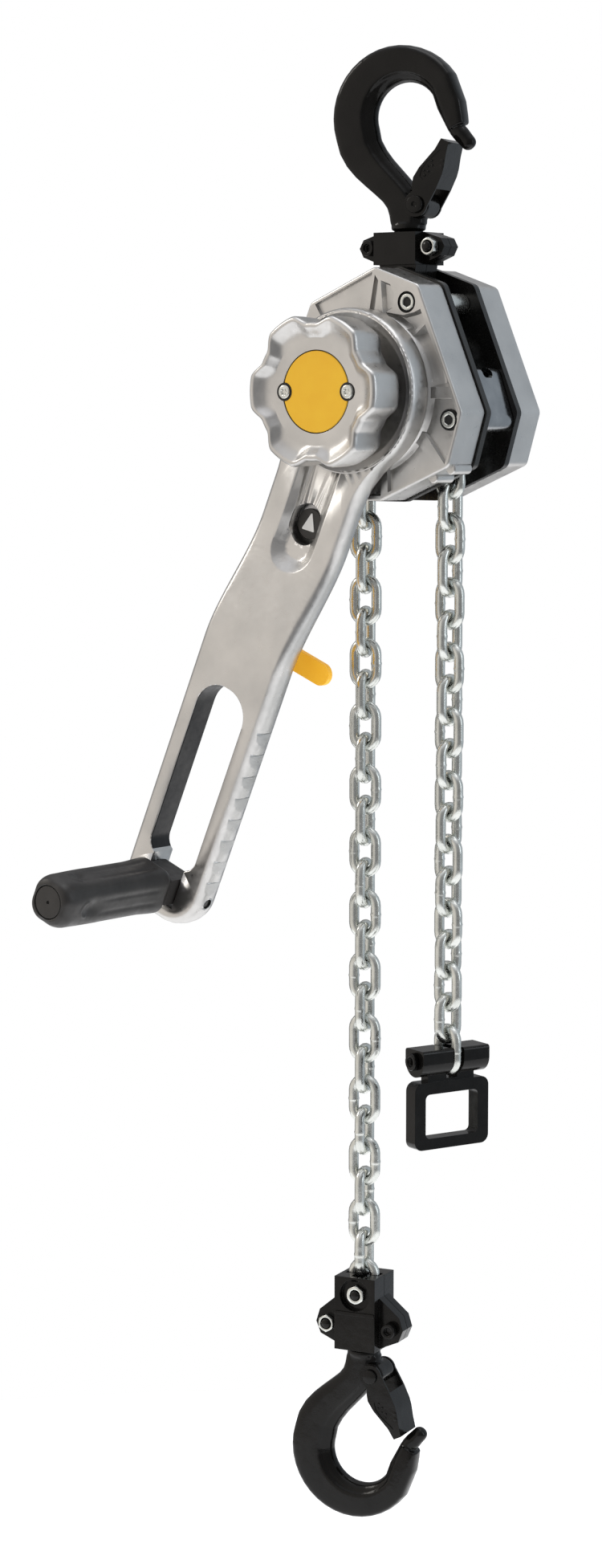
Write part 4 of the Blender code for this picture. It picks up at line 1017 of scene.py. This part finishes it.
def lever_blank():
    """The lever before it is bent: a flat plate with bull-nosed sides, made of rings around the outline."""
    outline = resampled(lever_outline(), 1.6)
    normals = inward_normals(outline)
    profile = ((4.2, 0.0), (2.6, 0.35), (1.2, 1.2), (0.35, 2.7), (0.0, 4.9), (0.3, 7.2), (1.1, 8.8),
               (2.4, 9.65), (4.0, 10.0))
    rings = []
    for inset, height in profile:
        row = []
        for (x, z), (nx, nz) in zip(outline, normals):
            share = 0.28 + 0.72 * ramp(-z, 22, 60)
            row.append((x + nx * inset * share, height - 10.0, z + nz * inset * share))
        rings.append(row)
    return loft(rings)


def wedge_cutters():
    """The steps along both sides of the arm that give the fingers hold."""
    cutters = []
    for k in range(8):
        drop = 184 + 12.9 * k
        for side in (-1, 1):
            wedge = [(side * (ARM_HALF_WIDTH + 3), -drop + 1.6), (side * (ARM_HALF_WIDTH - 1.15), -drop),
                     (side * (ARM_HALF_WIDTH - 0.95), -drop - 1.6),
                     (side * (ARM_HALF_WIDTH + 0.4), -drop - 10.6),
                     (side * (ARM_HALF_WIDTH + 3), -drop - 10.6)]
            cutters.append(prism(wedge, -14, 4))
    return together(cutters)


def tapered_cutter(outline, levels):
    """A cutter whose outline grows at some levels: pairs of growth and Y."""
    return loft(inset_rings(outline, [(-growth, y) for growth, y in levels]))


def lever_cuts():
    channel = panel(13.4, -25, -101, 9, 12.5, 12)
    trough = tapered_cutter(channel, ((0.9, -10.8), (0.6, -10.0), (-0.2, -9.8), (-2.8, -8.4), (-5.2, -7.0),
                                      (-6.6, -6.5)))
    window = arc(0, -PAWL_DROP + 2.4, 8.6, 0, 180, 20) + arc(0, -PAWL_DROP - 2.4, 8.6, 180, 360, 20)
    window = tapered_cutter(window, ((0.7, -11), (0.7, -6.75), (0, -6.0), (0, -3.8)))
    slot = panel(SLOT_HALF, -SLOT_TOP, -SLOT_BOTTOM, 15.5, 9, 14)
    slot = tapered_cutter(slot, ((1.0, -10.6), (0.8, -10.0), (0.15, -9.7), (0, -9.2), (0, -0.8), (0.15, -0.3),
                                 (0.8, 0), (1.0, 0.6)))
    notch = tapered_cutter(mirrored([(11.3, -262), (11.3, -297)]),
                           ((0.5, -10.6), (0.4, -10.0), (0, -9.6), (0, -0.4), (0.4, 0), (0.5, 0.6)))
    recess = turned([(0, -14), (40.8, -14), (40.8, -8.9), (36, -6.2), (0, -6.2)], 96)
    bore = rod(17, -14, 4, 48)
    pocket = prism(mirrored([(22.5, -30), (22.5, -61), (12.2, -61), (12.2, -93)]), -4.4, 4)
    cavity = turned([(0, -4.6), (38.6, -4.6), (38.6, 4), (0, 4)], 64)
    return [recess, trough, window, slot, notch, bore, cavity, pocket, wedge_cutters()]


def arm_face(drop):
    return UPPER_FACE + (LOWER_FACE - UPPER_FACE) * ramp(drop, BEND_START, BEND_END)


def arm_thickness(drop):
    upper = HEAD_BACK - UPPER_FACE
    return upper + (ARM_THICKNESS - upper) * ramp(drop, BEND_START, BEND_END)


def bent(bm):
    """Slices a flat lever across its bend and moves it to its real levels."""
    for k in range(28):
        level = BEND_START - 3 + (BEND_END - BEND_START + 6) * k / 27
        bmesh.ops.bisect_plane(bm, geom=bm.verts[:] + bm.edges[:] + bm.faces[:], plane_co=(0, 0, -level),
                               plane_no=(0, 0, 1))
    for vert in bm.verts:
        drop = -vert.co.z
        vert.co.y = arm_face(drop) + arm_thickness(drop) * (vert.co.y + 10) / 10
    return bm


def lever():
    bm = cut(lever_blank(), *lever_cuts())
    bmesh.ops.triangulate(bm, faces=[face for face in bm.faces if len(face.verts) > 4])
    bm = bent(bm)
    hole = rod(2.9, -40, 40, 28, "X", (0, CRANK_Y, -CRANK_DROP))
    casting = piece("lever_casting", cut(bm, hole), ON_LEVER, ALUMINIUM, ["lever"], bevel=0.3, angle=38)
    # Painted shade: faces of the slot's inner walls get the near-black slot material.
    casting.data.materials.append(SLOT_PAINTED_SHADE)
    to_arm = LEVER.inverted()
    for face in casting.data.polygons:
        middle = to_arm @ face.center
        in_slot = abs(middle.x) < SLOT_HALF + 0.1 and SLOT_TOP - 1 < -middle.z < LEVER_END - 34
        if in_slot and abs(face.normal.y) < 0.3:
            face.material_index = 1
    pin = turned([(0, -26.4), (2.3, -26.4), (2.6, -26.1), (2.6, 26.1), (2.3, 26.4), (0, 26.4)], 24, "X",
                 (0, CRANK_Y, -CRANK_DROP))
    piece("crank_pivot_pin_bar", pin, ON_LEVER, BLACK_PLATE, ["crank_pivot_pin"])
    liner = turned([(17.1, -50.0), (17.1, -50.8), (34.6, -50.8), (36.0, -51.2), (40.2, -54.2), (41.0, -55.2),
                    (41.6, -55.68), (42.2, -55.68), (42.2, -54), (36, -50.0)], 128)
    piece("lever_head_recess", liner, ON_LEVER, ALUMINIUM)
    dress("lever_head_cover", ALUMINIUM, 0.4)


def change_gear():
    """The direction disc behind the lever's window, its mark, the pawl and the thumb lever."""
    outline = mirrored([(4.5, -42), (10.6, -32.9), (12.8, -34.2), (11.6, -44), (7.2, -PAWL_DROP + 2),
                        (5, -PAWL_DROP - 5.5)])
    stem = turned([(0, -47.0), (7.4, -47.0), (7.4, -45.6), (4.0, -45.0), (4.0, -35.9), (0, -35.9)], 32, "Y",
                  (0, 0, -PAWL_DROP))
    pawl = joined(prism(outline, -46.2, -43.2), stem)
    piece("change_pawl_body", pawl, ON_SELECTOR, STEEL, ["change_pawl"], bevel=0.3)
    disc = turned([(0, -47.6), (7.8, -47.6), (8.2, -47.2), (8.2, -46.9), (0, -46.9)], 48, "Y",
                  (0, 0, -PAWL_DROP))
    piece("direction_disc", disc, ON_SELECTOR, GRIP)
    mark = [(-0.7, 6.6), (4.6, -2.9), (-3.9, -4.3)]
    mark = rounded([(x, z - PAWL_DROP) for x, z in mark], 0.5, 3)
    piece("direction_mark", prism(mark, -47.95, -47.5), ON_SELECTOR, WHITE, bevel=0.08)
    bar, tab, end, reach = 5.5, 6.0, 154.5, 37.5
    arm = arc(0, -PAWL_DROP, 7.6, 160, 20, 14)
    arm += [(bar, -PAWL_DROP - 9), (bar, -end + 2 * tab + 4)]
    arm += arc(bar + 4, -end + 2 * tab + 4, 4, 180, 270, 6)[1:]
    arm += arc(reach - tab, -end + tab, tab, 90, -90, 18)
    arm += arc(-bar + 4, -end + 4, 4, 270, 180, 6) + [(-bar, -PAWL_DROP - 9)]
    hole = circle(0, -PAWL_DROP, 4.3, 24)
    # Painted light: the thumb lever glows with the emissive yellow.
    piece("selector_arm", prism(arm, -39.4, -35.9, [hole]), ON_SELECTOR, YELLOW_PAINTED_GLOW, ["selector"], bevel=1.1,
          segments=4)


# ---------------------------------------------------------------- crank handle

def grip_radius(turn, along):
    """The grip's radius at an angle round it and a distance from its inner end."""
    half = 13.2
    corner = 7.6 + 2.6 * ramp(along, 50, 76)
    cx, cz = abs(math.cos(turn)), abs(math.sin(turn))
    low, high = 0.0, 30.0
    for _ in range(18):
        middle = (low + high) / 2
        px, pz = max(0, middle * cx - (half - corner)), max(0, middle * cz - (half - corner))
        if math.hypot(px, pz) > corner:
            high = middle
        else:
            low = middle
    reach = low
    reach -= 2.2 * ramp(along, 5.0, 0.0) ** 1.5
    tip = max(0, (along - GRIP_LENGTH + 8.5) / 8.5)
    reach -= 4.3 * (1 - math.sqrt(1 - min(1, tip) ** 2))
    waist = ramp(along, 4, 22) * (1 - ramp(along, 48, 70))
    reach -= 0.8 * waist
    face = (turn + math.pi / 4) % (math.pi / 2) - math.pi / 4
    for place in (-0.30, 0.30):
        groove = math.exp(-(((face - place) * 14) / 1.3) ** 2)
        reach -= 0.42 * groove * ramp(along, 6, 14) * (1 - ramp(along, 48, 58))
    dimple = ((along - 63) / 8.0) ** 2 + (face * 14 / 6.6) ** 2
    reach -= 2.1 * math.exp(-dimple * 1.5)
    mark = abs(math.hypot((along - 67) / 1.25, face * 13) - 4.2)
    reach += 0.5 * math.exp(-((mark / 0.55) ** 2)) * ramp(along, 65.5, 67.5)
    return reach


def grip():
    steps, stations = 120, 110
    rings = []
    for k in range(stations + 1):
        along = GRIP_LENGTH * k / stations
        row = [(x, z, grip_radius(math.atan2(z, x), along)) for x, z in circle(0, 0, 1, steps)]
        rings.append([(x * reach, -16 - along, z * reach) for x, z, reach in row])
    for radius, y in ((9.1, -101.0), (9.1, -98.7), (4.4, -98.7), (4.4, -16.0)):
        rings.append(flat_ring(circle(0, 0, radius, steps), y))
    piece("crank_grip_moulding", loft(rings, closed=True), ON_GRIP, GRIP, ["crank_grip"], angle=60)
    cap = turned([(0, -99.6), (0.9, -99.6), (0.9, -100.7), (1.15, -100.95), (8.3, -100.95), (8.7, -100.6),
                  (8.7, -99.0), (0, -99.0)], 64)
    piece("grip_end_cap_disc", cap, ON_CRANK, GRIP, ["grip_end_cap"])


def crank():
    knuckle = rounded([(7.6, -7.6), (-15.7, -7.6), (-15.7, 7.6), (7.6, 7.6)], [5.5, 1.2, 1.2, 5.5], 8)
    block = prism(knuckle, -10.8, 10.8, [circle(0, 0, 2.8, 24)])
    block.transform(about("Z", 90))
    spindle = turned([(0, -98.4), (3.4, -98.4), (4.0, -97.8), (4.0, -14), (0, -14)], 32)
    piece("crank_knuckle", joined(block, spindle), ON_CRANK, GRIP, ["crank_spindle"], bevel=0.7)


# ---------------------------------------------------------------- inside

def inner_parts():
    for node in ("load_sheave", "load_gear", "intermediate_gear_left", "intermediate_gear_right",
                 "drive_shaft", "pressure_hub", "ratchet_wheel"):
        dress(node, STEEL, 0.15, 1)
    for node in ("friction_disc_inner", "friction_disc_outer"):
        dress(node, LINING)
    for node in ("brake_pawl_upper", "brake_pawl_lower"):
        dress(node, ZINC, 0.2, 1)
    dress("suspension_pin", ZINC, 0.4)
    dress("chain_stripper", BLACK_PLATE, 1.2, 3)


# ---------------------------------------------------------------- stage

def soft_light(name, place, target, size, energy, colour):
    light = bpy.data.lights.new(name, "AREA")
    light.shape = "RECTANGLE"
    light.size, light.size_y = size
    light.energy = energy
    light.color = colour
    made = bpy.data.objects.new(name, light)
    bpy.context.scene.collection.objects.link(made)
    made.location = place
    made.rotation_euler = (Vector(target) - Vector(place)).to_track_quat("-Z", "Y").to_euler()


def studio_world():
    """White for the camera; for everything else a room that is warm in front, cool behind and dim below."""
    world = bpy.data.worlds.new("studio")
    bpy.context.scene.world = world
    world.use_nodes = True
    nodes = Nodes(world.node_tree)
    direction = nodes.node("ShaderNodeTexCoord").outputs["Generated"]
    colour = (0.13, 0.13, 0.13)
    for vector, low, high, tint in (((0, 0, 1), -1.0, 0.6, (0.34, 0.34, 0.345)),
                                    ((-0.61, -0.79, 0.12), 0.35, 0.98, (0.86, 0.81, 0.755)),
                                    ((0.61, 0.79, 0.10), 0.30, 0.98, (0.50, 0.55, 0.60)),
                                    ((0, 0, 1), 0.55, 1.0, (0.95, 0.96, 1.0))):
        dot = nodes.node("ShaderNodeVectorMath", operation="DOT_PRODUCT")
        nodes.tree.links.new(direction, dot.inputs[0])
        dot.inputs[1].default_value = Vector(vector).normalized()
        colour = nodes.mix(nodes.spread(dot.outputs["Value"], 0, 1, low, high, "SMOOTHSTEP"), colour, tint)
    from_camera = nodes.node("ShaderNodeLightPath").outputs["Is Camera Ray"]
    nodes.fill(nodes.tree.nodes["Background"], Color=nodes.mix(from_camera, colour, (1, 1, 1)))


def stage():
    bpy.context.scene.view_settings.view_transform = "Standard"
    bpy.ops.mesh.primitive_circle_add(vertices=96, radius=1.6, fill_type="NGON",
                                      location=(0, 0, cad_bounds[0][2] - 0.4))
    floor = bpy.context.object
    floor.name = "floor"
    pale = bpy.data.materials.new("pale_floor")
    pale.use_nodes = True
    Nodes(pale.node_tree).fill(pale.node_tree.nodes["Principled BSDF"], Base_Color=(0.92, 0.92, 0.92),
                               Roughness=0.9, Emission_Color=(1, 1, 1), Emission_Strength=0.55)
    floor.data.materials.append(pale)
    studio_world()
    middle = (0.0, 0.0, -0.35)
    soft_light("key", (-2.15, -1.15, 1.25), middle, (0.7, 1.0), 14, (1.0, 0.96, 0.90))
    soft_light("fill", (2.2, 0.6, 0.3), middle, (0.5, 1.8), 6, (0.90, 0.95, 1.0))
    soft_light("top", (0.2, 0.2, 1.6), middle, (1.2, 1.2), 6, (1.0, 1.0, 1.0))


def camera():
    """Right of the handwheel's axis and a little above it, with a long lens."""
    turn, pitch = 37.5, 6.45
    data = bpy.data.cameras.new("camera")
    data.sensor_width = 36.0
    data.lens = 77.42
    made = bpy.data.objects.new("camera", data)
    bpy.context.scene.collection.objects.link(made)
    made.location = (1.0507, -1.4626, -0.1671)
    made.rotation_euler = (math.radians(90 - pitch), 0, math.radians(turn))
    bpy.context.scene.camera = made


# ---------------------------------------------------------------- the whole

camera()
stage()
chains()
hooks()
top_yoke()
bottom_block()
chain_stop()
front_cover()
rear_cover()
side_plates()
stays()
chain_guide()
handwheel()
lever()
change_gear()
grip()
crank()
inner_parts()
